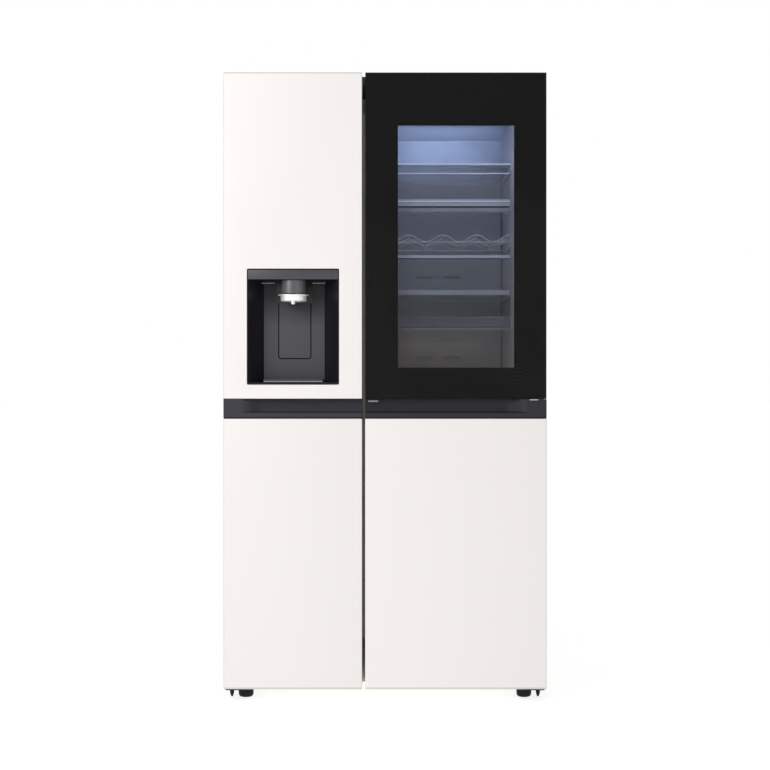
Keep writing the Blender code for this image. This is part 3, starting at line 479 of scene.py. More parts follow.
M = {
    # the door paint carries painted shade along the doors' outer edges
    "panel": rolled("satin_cream_paint_painted_edge_shade", (0.798, 0.764, 0.744), 0.72, 0.42, 0.006, 1.2, 1400, 4e-6, 0.03,
        specular=0.35),
    "case": surface("textured_grey_paint", (0.50, 0.485, 0.465), 0.50, 0.02, 2, 520, 0.00012, 0.05),
    "band": surface("charcoal_plastic", (0.0290, 0.0268, 0.0352), 0.55, 0.05, 4, 1500, 1e-5, 0.05,
        specular=0.35),
    # a darker copy of the band plastic: painted shade for the right door's band, further from the key light
    "band_painted_shade": surface("charcoal_plastic_painted_shade", (0.0188, 0.0172, 0.0232), 0.55, 0.05, 4, 1500, 1e-5,
        0.05, specular=0.30),
    "bezel": surface("dispenser_gloss_black", (0.010, 0.009, 0.012), 0.22, 0.08, 5, 800, 4e-6, 0.05,
        specular=0.20),
    "recess": surface("dispenser_satin_grey", (0.046, 0.045, 0.050), 0.40, 0.04, 4, 1600, 1e-5, 0.05,
        specular=0.35),
    # the recess's back, with painted shade that darkens it towards the top
    "recess_back_painted_shade": painted_shade_graded("dispenser_back_grey_painted_shade", (0.005, 0.005, 0.006), (0.062, 0.060, 0.069), 1.065,
        1.150, 0.40),
    "top_bar": surface("dispenser_bar_grey", (0.058, 0.057, 0.065), 0.38, 0.03, 4, 1500, 6e-6, 0.04,
        specular=0.35),
    "nozzle": surface("nozzle_grey", (0.088, 0.087, 0.094), 0.30, 0.04, 8, 1500, 6e-6, 0.05),
    "satin_chrome": surface("satin_chrome_plate", (0.84, 0.84, 0.85), 0.28, 0.02, 20, 2500, 2e-6, 0.04,
        Metallic=0.45),
    # the rack's wires glow faintly: painted highlights on the chrome
    "rack_wire": surface("rack_wire_plating_painted_glow", (0.80, 0.82, 0.86), 0.28, 0.02, 20, 2500, 2e-6, 0.04,
        Metallic=0.3, **glow((0.75, 0.82, 1), 0.09)),
    "button_strip": surface("button_satin_grey", (0.20, 0.20, 0.20), 0.35, 0.04, 20, 2000, 2e-6, 0.04),
    "hinge_tip": surface("hinge_tip_steel", (0.50, 0.50, 0.50), 0.35, 0.05, 30, 1200, 4e-6, 0.05),
    # the mullion's paint glows faintly: painted light that brightens the gap between the doors
    "mullion": surface("mullion_paint_painted_glow", (0.62, 0.59, 0.56), 0.45, 0.02, 3, 900, 1e-5, 0.05,
        **glow((1, 0.92, 0.85), 0.036)),
    "tray": surface("drip_tray_plastic", (0.0314, 0.0275, 0.0353), 0.40, 0.04, 5, 1300, 6e-6, 0.04),
    # a pale grey for the tray's front lip: a painted highlight along its edge
    "tray_lip": surface("tray_lip_painted_highlight", (0.22, 0.22, 0.22), 0.30, 0.04, 9, 1600, 4e-6, 0.04),
    "black": surface("moulded_black_plastic", (0.012, 0.012, 0.012), 0.45, 0.10, 5, 1300, 3e-5, 0.06,
        specular=0.35),
    "frame_black": surface("frame_black_plastic", (0.008, 0.008, 0.008), 0.55, 0.10, 5, 1300, 1e-5, 0.05,
        specular=0.20),
    "smoked": surface("smoked_glass", (0.006, 0.006, 0.006), 0.06, 0.05, 2, 300, 5e-7, 0.01, specular=0.13,
        Alpha=0.30),
    "pane": surface("clear_pane", (0.30, 0.33, 0.34), 0.05, 0.03, 2, 300, 5e-7, 0.01, Alpha=0.07),
    "shelf_glass": surface("shelf_glass", (0.50, 0.58, 0.66), 0.06, 0.03, 4, 400, 5e-7, 0.02, Alpha=0.40),
    # the top shelf's front bead glows: a painted highlight along the glass edge
    "glass_edge_painted_glow": surface("shelf_front_trim_painted_glow", (0.72, 0.78, 0.84), 0.20, 0.03, 4, 900, 2e-6, 0.05,
        **glow((0.70, 0.78, 1), 0.90)),
    "clear": surface("clear_polystyrene", (0.72, 0.76, 0.82), 0.10, 0.03, 5, 200, 1e-5, 0.04, Alpha=0.045),
    "bin": surface("frosted_bin_plastic", (0.70, 0.76, 0.82), 0.18, 0.03, 5, 300, 1e-5, 0.05, Alpha=0.34),
    # the basket rails glow in three strengths: painted highlights and painted light, bright and dimmer copies
    # of one rail
    "rail_painted_highlight": surface("basket_rail_edge_painted_highlight", (0.72, 0.77, 0.86), 0.20, 0.03, 5, 900, 4e-6, 0.05,
        **glow((0.56, 0.65, 0.95), 0.72), Alpha=0.90),
    "rail": surface("basket_rail", (0.62, 0.68, 0.80), 0.24, 0.03, 5, 900, 4e-6, 0.05,
        **glow((0.52, 0.60, 0.90), 0.28), Alpha=0.80),
    "rail_painted_glow_dim": surface("basket_rail_base_painted_glow", (0.52, 0.58, 0.70), 0.26, 0.03, 5, 900, 4e-6, 0.05,
        **glow((0.55, 0.62, 0.90), 0.12), Alpha=0.70),
    "rail_slot": surface("basket_rail_slot", (0.10, 0.12, 0.16), 0.40, 0.03, 5, 900, 4e-6, 0.05,
        Alpha=0.80),
    "clear_trim": surface("shelf_trim_clear", (0.60, 0.66, 0.82), 0.16, 0.03, 5, 600, 4e-6, 0.04,
        Alpha=0.30),
    "liner": surface("liner_white_plastic", (0.78, 0.82, 0.88), 0.34, 0.008, 2, 900, 4e-6, 0.02),
    "white": surface("white_moulding", (0.78, 0.80, 0.81), 0.36, 0.02, 3, 900, 1e-5, 0.06),
    "seal": surface("grey_seal_vinyl", (0.10, 0.10, 0.10), 0.62, 0.08, 8, 700, 3e-5, 0.06),
    "zinc": galvanised("zinc_coated_steel"),
    "black_steel": surface("black_painted_steel", (0.018, 0.018, 0.018), 0.40, 0.10, 9, 600, 4e-5, 0.08),
    "fins": surface("fin_aluminium", (0.62, 0.63, 0.64), 0.32, 0.05, 12, 700, 1e-5, 0.06, Metallic=0.9),
    "steel": surface("bright_screw_steel", (0.55, 0.55, 0.56), 0.28, 0.08, 40, 900, 1e-5, 0.06, Metallic=1),
    "foam": surface("blown_foam", (0.72, 0.60, 0.30), 0.90, 0.10, 20, 260, 0.0008, 0.05),
    "tyre": surface("roller_nylon", (0.035, 0.035, 0.035), 0.50, 0.10, 30, 900, 4e-5, 0.06),
    "lens": surface("lamp_lens", (0.85, 0.90, 1), 0.40, 0.02, 10, 800, 1e-5, 0.04,
        **glow((0.64, 0.70, 1), 2.6)),
    "small_lens": surface("dispenser_light_lens", (0.16, 0.16, 0.17), 0.30, 0.02, 10, 800, 1e-5, 0.04),
}


# CAD nodes that are shown as they are: material and softened edge
KEPT = {
    "drip_tray": ("tray", 0),
    "outer_door_frame": ("frame_black", 0.0006),
    "inner_window_pane": ("pane", 0),
    "cabinet_shell": ("case", 0.0004),
    "insulation": ("foam", 0),
    "freezer_liner": ("liner", 0.0008),
    "fridge_liner": ("liner", 0.0008),
    "base_frame": ("case", 0.0008),
    "top_cover": ("black", 0.0015),
    "machine_room_cover": ("zinc", 0.0003),
    "fan_shroud": ("black", 0.001),
    "condenser": ("black_steel", 0.0004),
    "evaporator": ("fins", 0.0004),
    "evaporator_cover": ("white", 0.0004),
    "fridge_air_duct": ("liner", 0.002),
    "ceiling_lamp": ("lens", 0.001),
    "freezer_shelf_1": ("shelf_glass", 0.0005),
    "freezer_door_core": ("white", 0.0015),
    "fridge_door_core": ("white", 0.0015),
    "ice_maker": ("white", 0.004),
    "outer_door_hinge_top": ("zinc", 0.0004),
    "outer_door_hinge_bottom": ("zinc", 0.0004),
    "top_hinge_left": ("zinc", 0.0006),
    "top_hinge_right": ("zinc", 0.0006),
    "bottom_hinge_left": ("frame_black", 0.0004),
    "bottom_hinge_right": ("frame_black", 0.0004),
    "freezer_drawer": ("bin", 0.001),
    "crisper_drawer": ("bin", 0.001),
}

# The bands moulded across each door basket, from the top basket down, as heights above its bottom. Most rail
# materials glow faintly, painted light on the clear plastic.
BASKET_BANDS = (
    ((0.0002, 0.0108, "rail_painted_glow_dim"), (0.0110, 0.0164, "rail_slot"), (0.0166, 0.0252, "rail"),
     (0.0254, 0.0276, "rail_painted_glow_dim"),
     (0.0278, 0.0306, "rail_painted_highlight"), (0.0308, 0.0362, "rail"), (0.1080, 0.1110, "rail_painted_highlight")),
    ((0.0002, 0.0142, "rail_painted_glow_dim"), (0.1024, 0.1052, "rail_slot"), (0.1056, 0.1140, "rail")),
    ((0.0002, 0.0142, "rail_painted_glow_dim"), (0.1374, 0.1400, "rail_painted_glow_dim")),
)


# ---------------------------------------------------------------- doors


def door_skin(node, body, cutters=()):
    """A steel sheet folded back round the door's edges, from a rounded block whose back is open."""
    x, y, z = extents(node)
    bm = box(x, y, z)
    rear = [e for e in bm.edges if all(v.co.y > y[1] - HAIR for v in e.verts)]
    folds = [e for e in bm.edges if e not in rear]
    bmesh.ops.bevel(bm, geom=folds, offset=PANEL_EDGE, segments=4, profile=0.5, affect="EDGES")
    back = [f for f in bm.faces if all(v.co.y > y[1] - HAIR for v in f.verts)]
    bmesh.ops.delete(bm, geom=back, context="FACES")
    obj = piece(f"{node}_skin", bm, "panel", body, (node,))
    solid = obj.modifiers.new("thickness", "SOLIDIFY")
    solid.thickness = SHEET
    solid.offset = -1
    settle(obj)
    if cutters:
        cut(obj, *cutters)
    soften(obj)
    return obj


def ease(share):
    """0 to 1 with a level start and end."""
    share = min(1.0, max(0.0, share))
    return share * share * (3 - 2 * share)


def band_profile(y, z, lip, depth):
    """The band's front outline in (y, z), bottom to top: lip, rolled edge and the hollow behind."""
    edge = 0.0018
    front = y[0]
    step = 0.0036
    points = [(front + 0.0042, z[0]), (front + 0.0040, z[0] + step - 0.0006), (front + 0.0006, z[0] + step)]
    points += [(front, z[0] + step + 0.0006), (front, lip - edge)]
    roll = min(edge, max(depth, 0.0002))
    points += [(front + roll * 0.3, lip - roll * 0.3), (front + roll, lip)]
    floor = front + max(depth, roll + 0.0001)
    cove = 0.006 * min(1.0, depth / 0.010)
    points.append((max(floor - cove, front + roll + 0.00005), lip + 0.0001))
    for step in range(1, 5):
        turn = math.pi / 2 * step / 4
        points.append((floor - cove * (1 - math.sin(turn)), lip + 0.0001 + cove * (1 - math.cos(turn))))
    points.append((floor, z[1] - 0.004))
    points.append((floor, z[1]))
    return points


def handle_band(node, body, open_side, material, seats=()):
    """The dark band across a door. Its hollow runs out in a ramp near the hinge side."""
    x, y, z = extents(node)
    lip = z[0] + BAND_LIP
    full, flush, ramp = 0.029, 0.050, 0.062
    far, near = (x[0], x[1]) if open_side > 0 else (x[1], x[0])
    stations = [far, far + open_side * flush]
    stations += [far + open_side * (flush + ramp * k / GROOVE_STATIONS) for k in range(1,
            GROOVE_STATIONS + 1)]
    stations.append(near)
    back = y[0] + BAND_BACK
    rows = []
    for place in stations:
        depth = full * ease((abs(place - far) - flush) / ramp)
        outline = band_profile(y, z, lip, depth) + [(back, z[1]), (back, z[0])]
        rows.append([(place, *pair) for pair in outline])
    # A dark strip along the joint with the panel below is a painted shadow line under the band.
    proud, deep, thick = y[0] + 0.0006, y[0] + 0.0036, 0.0030
    low = z[0] + 0.0001
    strip = prism("x", [(proud, low), (proud, low + thick), (deep, low + thick), (deep, low)],
                  x[0] + 0.0004, x[1] - 0.0004)
    piece(f"{node}_lower_painted_shadow_strip", strip, "frame_black", body)
    obj = piece(f"{node}_band", shell(rows), material, body, (node,))
    if seats:
        cut(obj, *[box(*seat) for seat in seats])
    soften(obj, 30)
    # Cheeks run back over the door's sides.
    cheeks = []
    for side in (0, 1):
        inner = x[side] + (SHEET if side == 0 else -SHEET)
        cheeks.append(box(sorted((x[side], inner)), (back + HAIR, y[1]), z))
    piece(f"{node}_cheeks", joined(*cheeks), material, body, edge=0.0003)


def open_end(node, top):
    """The space behind a handle band, where a door skin has no folded edge."""
    x, y, z = extents(node)
    level = (z[1] - 0.005, z[1] + REACH) if top else (z[0] - REACH, z[0] + 0.005)
    return box(shrunk(x, SHEET), (y[0] + BAND_BACK + 0.0004, y[1] + REACH), level)


def hinge(body):
    """The place of a body's joint."""
    return next(joint for joint in frame["joints"] if joint["child"] == body)["pos_m"]


def pin_bore(body):
    """The round hole in a door's bottom for its hinge pin."""
    across, along, _ = hinge(body)
    radius, low, high = 0.0056, 0.02, 0.05
    return turned([(0, low), (radius, low), (radius, high), (0, high)], (across, along, 0))


def seal(node, body, face):
    """A door seal with its bellows and magnet strip, as a square ring."""
    x, y, z = extents(node)
    width = 0.017 if face == "main" else 0.012
    depth = y[1] - y[0]
    shapes = []
    folds = ((0.0, 0.25, 0.15, 0.85), (0.25, 0.70, 0.28, 0.72), (0.70, 1.0, 0.0, 1.0))
    for start, end, inside, outside in folds:
        near = y[0] + depth * start + HAIR / 10
        far = y[0] + depth * end
        a, b = width * (1 - outside), width * (1 - inside)
        shapes.append(ring("y", x, z, (near, far), a, b))
    return piece(f"{node}_ring", joined(*shapes), "seal", body, (node,), edge=0.0006)


def bin_bm(x, y, z, wall, radius):
    """An open bin with rounded upright corners and an even wall."""
    outside = rounded(rectangle(x, y), radius, 4)
    inside = rounded(rectangle(shrunk(x, wall), shrunk(y, wall)), radius - wall, 4)
    levels = ((outside, z[0]), (outside, z[1]), (inside, z[1]), (inside, z[0] + wall))
    return shell([[(*pair, height) for pair in outline] for outline, height in levels])


def door_basket(node, body, bands):
    """A clear bin with moulded bands across its front: (bottom, top, material) above the bin's own bottom."""
    x, y, z = extents(node)
    piece(f"{node}_bin", bin_bm(x, y, z, 0.003, 0.012), "clear", body, (node,),
          bevel=0.0008)
    across = shrunk(x, 0.012)
    for number, (low, high, material) in enumerate(bands, 1):
        level = (z[0] + low, min(z[0] + high, z[1]))
        proud = 0.0022 if material == "rail_painted_highlight" else 0.0014
        radius = min(0.0008, (level[1] - level[0]) * 0.3)
        outline = rounded(rectangle((y[0] - proud, y[0] - 0.0002), level), radius, 3)
        piece(f"{node}_band_{number}", prism("x", outline, *across), material, body)


def make_freezer_door():
    body = "freezer_door"
    x, y, z = extents("freezer_upper_panel")
    hx, _, hz = extents("dispenser_housing")
    window = slab("y", shrunk(hx, -HAIR), shrunk(hz, -HAIR), y[0] - REACH, y[0] + REACH,
                  TUB_CORNER + HAIR)
    # The hinge arm lies on the door's top, behind the front fold.
    arm = extents("top_hinge_left")[2][1] - 0.0045
    behind = box(shrunk(x, -REACH), (y[0] + 0.0155, y[1] + REACH), (arm, z[1] + REACH))
    door_skin("freezer_upper_panel", body, (window, behind, open_end("freezer_upper_panel", False)))
    door_skin("freezer_lower_panel", body, (open_end("freezer_lower_panel", True), pin_bore(body)))
    handle_band("freezer_handle", body, 1, "band")
    bx, by, bz = extents("freezer_handle")
    # A black strip under the band's top edge is a painted shadow, where the panel above shades the hollow.
    top_shadow_strip = slab("x", (by[0] + 0.0010, by[0] + 0.0030), (bz[1] - 0.0048, bz[1] - 0.0001), bx[0] + 0.0004,
                 bx[1] - 0.0004, 0.0006, 2)
    piece("freezer_band_top_shadow_strip", top_shadow_strip, "frame_black", body)
    seal("freezer_gasket", body, "main")
    for number in (1, 2):
        node = f"freezer_door_basket_{number}"
        piece(f"{node}_bin", bin_bm(*extents(node), BIN_WALL, 0.014), "bin", body, (node,),
              bevel=0.0008)
    ix, iy, iz = extents("ice_maker")
    front = iy[1] + 0.0002
    cover = slab("y", shrunk(ix, 0.012), (iz[0] + 0.060, iz[1] - 0.016), front, front + 0.004, 0.012)
    piece("ice_maker_cover", cover, "liner", body, bevel=0.0015)
    latch = slab("y", shrunk(ix, 0.075), (iz[0] + 0.072, iz[0] + 0.090), front + 0.0042,
                 front + 0.0100, 0.006)
    piece("ice_maker_latch", latch, "recess", body, bevel=0.0015)
    # The raised rim inside the door stands just inside the compartment's mouth.
    lx, _, lz = extents("freezer_liner")
    core_back = extents("freezer_door_core")[1][1]
    side_gap, end_gap, rise, wall = 0.0115, 0.0135, 0.034, 0.005
    dam = ring("y", shrunk(lx, side_gap), shrunk(lz, end_gap),
               (core_back + 0.0002, core_back + rise), 0, wall)
    piece("freezer_door_dam", dam, "liner", body, bevel=0.0018)


def make_dispenser():
    body = "freezer_door"
    x, y, z = extents("dispenser_housing")
    front = y[0]
    back = front + 0.0685
    recess_x = shrunk(x, 0.0027)
    back_x = (x[0] + 0.0423, x[1] - 0.0428)
    recess_z = (z[0] + 0.0067, z[1] - 0.0308)
    lever_x, lever_y, lever_z = extents("dispenser_lever")

    # The tub, with sloping sides, is cut by the space that a glass goes into.
    block = slab("y", x, z, front, y[1], TUB_CORNER)
    tub = piece("dispenser_tub", block, "bezel", body, ("dispenser_housing",))
    mouths = ((front - 0.001, recess_x), (back + 0.0012, back_x))
    hollow = shell([[(px, depth, pz) for px, pz in rectangle(span, recess_z)] for depth, span in mouths])
    margin = 0.0013  # between the lever's opening and the lever's CAD box
    slot = rectangle(shrunk(lever_x, -margin), (lever_z[0] - margin, lever_z[1] + 0.004))
    slot = rounded(slot, [0.0093, 0.0093, 0.002, 0.002])
    swing = prism("y", slot, back - 0.02, back + 0.0215)
    bar_z = (recess_z[1] + 0.0008, z[1] - 0.0030)
    seat = box(shrunk(x, 0.0026), (front - 0.01, front + 0.0034), shrunk(bar_z, -HAIR))
    cut(tub, hollow, swing, seat)
    add_bevel(tub, 0.0008, 2, 40)
    settle(tub)
    soften(tub)

    # A satin sheet lines the back of the recess, with the lever's opening in it. Its colour carries painted
    # shade, darker towards the top.
    inset = 0.0006
    sheet = prism("y", rectangle(shrunk(back_x, inset), shrunk(recess_z, inset)), back - 0.0002,
            back + 0.0009)
    lining = piece("dispenser_back_lining", sheet, "recess_back_painted_shade", body)
    cut(lining, prism("y", slot, back - 0.02, back + 0.02))
    soften(lining)
    cover_z = (lever_z[1] - 0.019, recess_z[1] - 0.004)
    cover = slab("y", shrunk(lever_x, -0.006), cover_z, back - 0.0014, back - 0.0003, 0.003)
    piece("lever_hinge_cover", cover, "recess_back_painted_shade", body, edge=0.0004)

    bar = slab("x", (front, front + 0.0030), bar_z, x[0] + 0.0029, x[1] - 0.0029, 0.0008, 3)
    piece("dispenser_top_bar", bar, "top_bar", body, edge=0.0003)

    for name, side in (("left", -1), ("right", 1)):
        middle = (x[0] + x[1]) / 2 + side * 0.0723
        lens = box((middle - 0.0185, middle + 0.0185), (front + 0.030, front + 0.034),
                (recess_z[1] - 0.0095, recess_z[1] - 0.0070))
        piece(f"dispenser_light_{name}", lens, "small_lens", body, edge=0.0006)

    make_nozzle(body)

    inner = LEVER_GAP - margin
    pad = rectangle(shrunk(lever_x, inner), (lever_z[0] + inner, lever_z[1]))
    pad = prism("y", rounded(pad, [0.0072, 0.0072, 0.002, 0.002]), lever_y[0], lever_y[1])
    piece("dispenser_paddle", pad, "recess_back_painted_shade", "dispenser_lever",
          ("dispenser_lever",), bevel=0.0006)

    tx, ty, tz = extents("drip_tray")
    slats = []
    count, half, rim_width = 11, 0.0045, 0.004
    for k in range(count):
        place = tx[0] + rim_width + (tx[1] - tx[0] - 2 * rim_width) * (k + 0.5) / count
        slats.append(box((place - half, place + half), shrunk(ty, 0.0025),
                (tz[1] - 0.0028, tz[1] - 0.0012)))
    rim = ring("z", tx, (ty[0] + 0.0012, ty[1]), (tz[1] - 0.0014, tz[1]), 0, rim_width)
    piece("drip_tray_grille", joined(*slats, rim), "bezel", "drip_tray", edge=0.0003)
    # A pale lip along the tray's front is a painted highlight along its edge.
    lip = rounded(rectangle((ty[0] - 0.0011, ty[0] - 0.0001), (tz[0] + 0.0002, tz[0] + 0.0036)), 0.0004, 2)
    piece("drip_tray_lip", prism("x", lip, tx[0], tx[1]), "tray_lip", "drip_tray")


def stretched(bm, centre_x, share):
    """Widens a turned shape along X."""
    for v in bm.verts:
        v.co.x = centre_x + (v.co.x - centre_x) * share


def make_nozzle(body):
    x, y, z = extents("dispenser_nozzle")
    cx, cy = (x[0] + x[1]) / 2, (y[0] + y[1]) / 2
    r = (y[1] - y[0]) / 2
    barrel = turned([
        (0.020, z[0]), (r - 0.001, z[0]), (r, z[0] + 0.001), (r - 0.0004, z[1] - 0.010),
        (r - 0.0010, z[1]), (0.020, z[1]),
    ], (cx, cy, 0), segments=64)
    # The barrel is an oval, a little wider than its CAD node.
    stretched(barrel, cx, (x[1] - x[0]) / 2 / r * BARREL_WIDTH)
    piece("nozzle_barrel", barrel, "nozzle", body, ("dispenser_nozzle",))

    kx, _, kz = extents("dispenser_collar")
    flange_z = kz[1] - 0.0024
    low = kz[0] + 0.0090
    r = 0.0325
    ring = turned([
        (0.024, low),
        (r - 0.0030, low),
        (r - 0.0008, low + 0.0012),
        (r, low + 0.0035),
        (r, flange_z - 0.0012),
        (r + 0.0004, flange_z),
        (r + 0.0004, kz[1] - 0.0006),
        (r - 0.0006, kz[1]),
        (0.024, kz[1]),
    ], (cx, cy, 0), segments=72)
    for v in ring.verts:
        wide = (kx[1] - kx[0]) / 2 / (r + 0.0004) if v.co.z > flange_z - 0.0002 else 0.037 / r
        if (v.co.xy - Vector((cx, cy))).length > 0.027:
            v.co.x = cx + (v.co.x - cx) * wide
    piece("nozzle_chrome_ring", ring, "satin_chrome", body, ("dispenser_collar",))
    spout = turned([
        (0.0035, kz[0]), (0.0050, kz[0]), (0.0058, kz[0] + 0.001), (0.0058, low + 0.003),
        (0.0035, low + 0.003),
    ], (cx, cy - 0.0265, 0), segments=32)
    piece("water_spout", spout, "satin_chrome", body)


def make_fridge_door():
    body = "fridge_door"
    x, y, _ = extents("fridge_lower_panel")
    door_skin("fridge_lower_panel", body, (open_end("fridge_lower_panel", True), pin_bore(body)))
    # The band leaves room for the outer door's hinge, and its front for the hinge's tip.
    hx, hy, hz = extents("outer_door_hinge_bottom")
    tip_x = (hx[0], hx[0] + 0.024)
    room_top = hz[1] - 0.002
    seat = ((hx[0] - 0.0025, x[1] + REACH), (y[0] + 0.0075, y[1] + REACH), (hz[0] - 0.0005, room_top))
    notch = ((tip_x[0] - 0.0007, tip_x[1] + HAIR), (y[0] - REACH, y[0] + 0.008), (hz[0] + 0.0001, room_top))
    # The right door's band takes the darker copy of the band plastic: painted shade.
    handle_band("fridge_handle", body, -1, "band_painted_shade", (seat, notch))
    seal("fridge_gasket", body, "main")
    for number, bands in enumerate(BASKET_BANDS, 1):
        door_basket(f"door_basket_{number}", body, bands)
    tip = slab("y", tip_x, (hz[0] + 0.0010, hz[0] + 0.0036), hy[0] - 0.0078, hy[0] - 0.0002, 0.0010, 3)
    piece("outer_hinge_tip", tip, "hinge_tip", body, edge=0.0004)


def make_door_sides():
    """Painted sheets behind the outer door, in line with the lower panel's sides."""
    px, py, _ = extents("fridge_lower_panel")
    front = extents("outer_door_gasket")[1][1] + 0.0006
    level = (extents("outer_door_frame")[2][0] + 0.0008, extents("fridge_door_core")[2][1])
    for word, sheet_x in (("left", (px[0], px[0] + SHEET)), ("right", (px[1] - SHEET, px[1]))):
        piece(f"fridge_door_side_{word}", box(sheet_x, (front, py[1]), level), "panel", "fridge_door",
              edge=0.0004)


def make_outer_door():
    body = "outer_door"
    x, y, z = extents("outer_door_glass")
    px, _, pz = extents("inner_window_pane")
    margin = 0.0097
    clear_x = shrunk(px, margin)
    clear_z = shrunk(pz, margin)
    print_y = (y[1] + 0.00002, y[1] + 0.00026)
    bottom = box(shrunk(x, 0.001), print_y, (z[0] + 0.001, clear_z[0]))
    over = box(shrunk(x, 0.001), print_y, (clear_z[1], z[1] - 0.001))
    left = box((x[0] + 0.001, clear_x[0]), print_y, clear_z)
    right = box((clear_x[1], x[1] - 0.001), print_y, clear_z)
    piece("glass_black_border", joined(bottom, over, left, right), "frame_black", body)
    glass = slab("y", x, z, y[0], y[1], 0.0016, 3)
    piece("outer_door_front_glass", glass, "smoked", body, ("outer_door_glass",),
          edge=0.0006)
    seal("outer_door_gasket", body, "outer")
    bx, by, bz = extents("release_button")
    split = bz[0] + 0.0048
    body_z = (split + 0.0002, bz[1])
    button = slab("y", shrunk(bx, 0.0006), body_z, by[0], by[1], 0.0015)
    piece("release_button_body", button, "frame_black", "release_button",
          ("release_button",), bevel=0.0005)
    strip = slab("y", bx, (bz[0], split), by[0] - 0.0004, by[1], 0.0012)
    piece("release_button_strip", strip, "button_strip", "release_button", bevel=0.0005)


# ---------------------------------------------------------------- cabinet


def screw(place, axis, body, name, radius=0.0042):
    """A pan-head screw with a cross recess, its head proud along an axis."""
    profile = [(0, 0), (radius, 0), (radius, 0.0008), (radius * 0.8, 0.0020), (0, 0.0024)]
    head = turned(profile, (0, 0, 0), segments=20)
    slot_half, slot_width = radius * 0.6, radius * 0.13
    obj = piece(name, head, "steel", body)
    bars = [box((-slot_half, slot_half), (-slot_width, slot_width), (0.0012, 0.004)),
            box((-slot_width, slot_width), (-slot_half, slot_half), (0.0012, 0.004))]
    cut(obj, *bars)
    soften(obj)
    turn = Vector((0, 0, 1)).rotation_difference(Vector(axis))
    for v in obj.data.vertices:
        v.co = turn @ v.co + Vector(place)
    return obj


def make_cabinet():
    make_rear_panel()
    make_mullion()
    for word, door in (("left", "freezer_door"), ("right", "fridge_door")):
        hinge_x, hinge_y, _ = extents(f"bottom_hinge_{word}")
        toe_x = shrunk(hinge_x, 0.0008)
        toe = slab("z", toe_x, (cad_bounds[0][1] + 0.010, hinge_y[0] - 0.0002), 0.0322, 0.0360, 0.004)
        piece(f"hinge_toe_{word}", toe, "frame_black", "cabinet", edge=0.0006)
        pin = hinge(door)
        boss = turned([
            (0, 0.0012), (0.0024, 0.0012), (0.0054, 0.0095), (0.0066, 0.0180), (0.0088, 0.0235),
            (0.0094, 0.0317), (0, 0.0317),
        ], (pin[0], pin[1], 0), segments=32)
        piece(f"hinge_pin_boss_{word}", boss, "frame_black", "cabinet")
    number = 0
    px, py, pz = extents("machine_room_cover")
    for cx in (px[0] + 0.012, -0.05, 0.09, px[1] - 0.012):
        for cz in shrunk(pz, 0.012):
            number += 1
            screw((cx, py[1] - 0.0024, cz), (0, 1, 0), "cabinet", f"cover_screw_{number}")


def make_mullion():
    """A low cover on the wall between the compartments, which shows in the gap between the doors. Its paint
    glows faintly, painted light that brightens the gap.
    """
    left, right = extents("freezer_gasket")[0][1] + 0.0008, extents("fridge_gasket")[0][0] - 0.0008
    front = extents("cabinet_shell")[1][0]
    outline = rounded([(left, front - HAIR), (left, front - 0.0018), (right, front - 0.0018),
            (right, front - HAIR)],
                      [0.0002, 0.0012, 0.0012, 0.0002], 3)
    mouth = extents("freezer_liner")[2]
    piece("mullion_cover", prism("z", outline, mouth[0] + 0.0115, mouth[1] - 0.0115), "mullion", "cabinet")


def make_rear_panel():
    """A thin sheet with shallow beads pressed inwards across it."""
    x, y, z = extents("rear_panel")
    depth, half = 0.0007, 0.009
    reach = (x[1] - x[0]) / 2 - 0.070
    levels = [z[0] + (z[1] - z[0]) * (k + 0.5) / 5 for k in range(5)]
    columns = [x[0], -reach - half, -reach, 0.0, reach, reach + half, x[1]]
    rows = [z[0]]
    for level in levels:
        rows += [level - half, level - half * 0.45, level + half * 0.45, level + half]
    rows.append(z[1])

    def pressed(px, pz):
        along = min(1.0, max(0.0, (reach + half - abs(px)) / half))
        across = max(min(1.0, (half - abs(pz - level)) / (half * 0.55)) for level in levels)
        return depth * along * max(0.0, across)

    bm = bmesh.new()
    grid = [[bm.verts.new((px, y[1] - 0.000002 - pressed(px, pz), pz)) for px in columns] for pz in rows]
    for lower, upper in zip(grid, grid[1:]):
        for k in range(len(columns) - 1):
            bm.faces.new((lower[k + 1], lower[k], upper[k], upper[k + 1]))
    obj = piece("rear_panel_sheet", bm, "zinc", "cabinet", ("rear_panel",))
    solid = obj.modifiers.new("thickness", "SOLIDIFY")
    solid.thickness = 0.0003
    solid.offset = -1
    settle(obj)
    # Screw heads stand in round holes, flush with the sheet.
    edge = 0.013
    places = [(x[side] + (edge if side == 0 else -edge), z[0] + edge + (z[1] - z[0] - 2 * edge) * k / 5)
              for k in range(6) for side in (0, 1)]
    places += [(px, z[1] - edge) for px in (-0.25, 0.0, 0.25)]
    hole = [(0, -0.004), (0.0049, -0.004), (0.0049, 0.004), (0, 0.004)]
    cut(obj, *[turned(hole, (px, y[1], pz), "y", 32) for px, pz in places])
    soften(obj, 4)
    for number, (px, pz) in enumerate(places, 1):
        screw((px, y[1] - 0.0026, pz), (0, 1, 0), "cabinet", f"rear_screw_{number}")


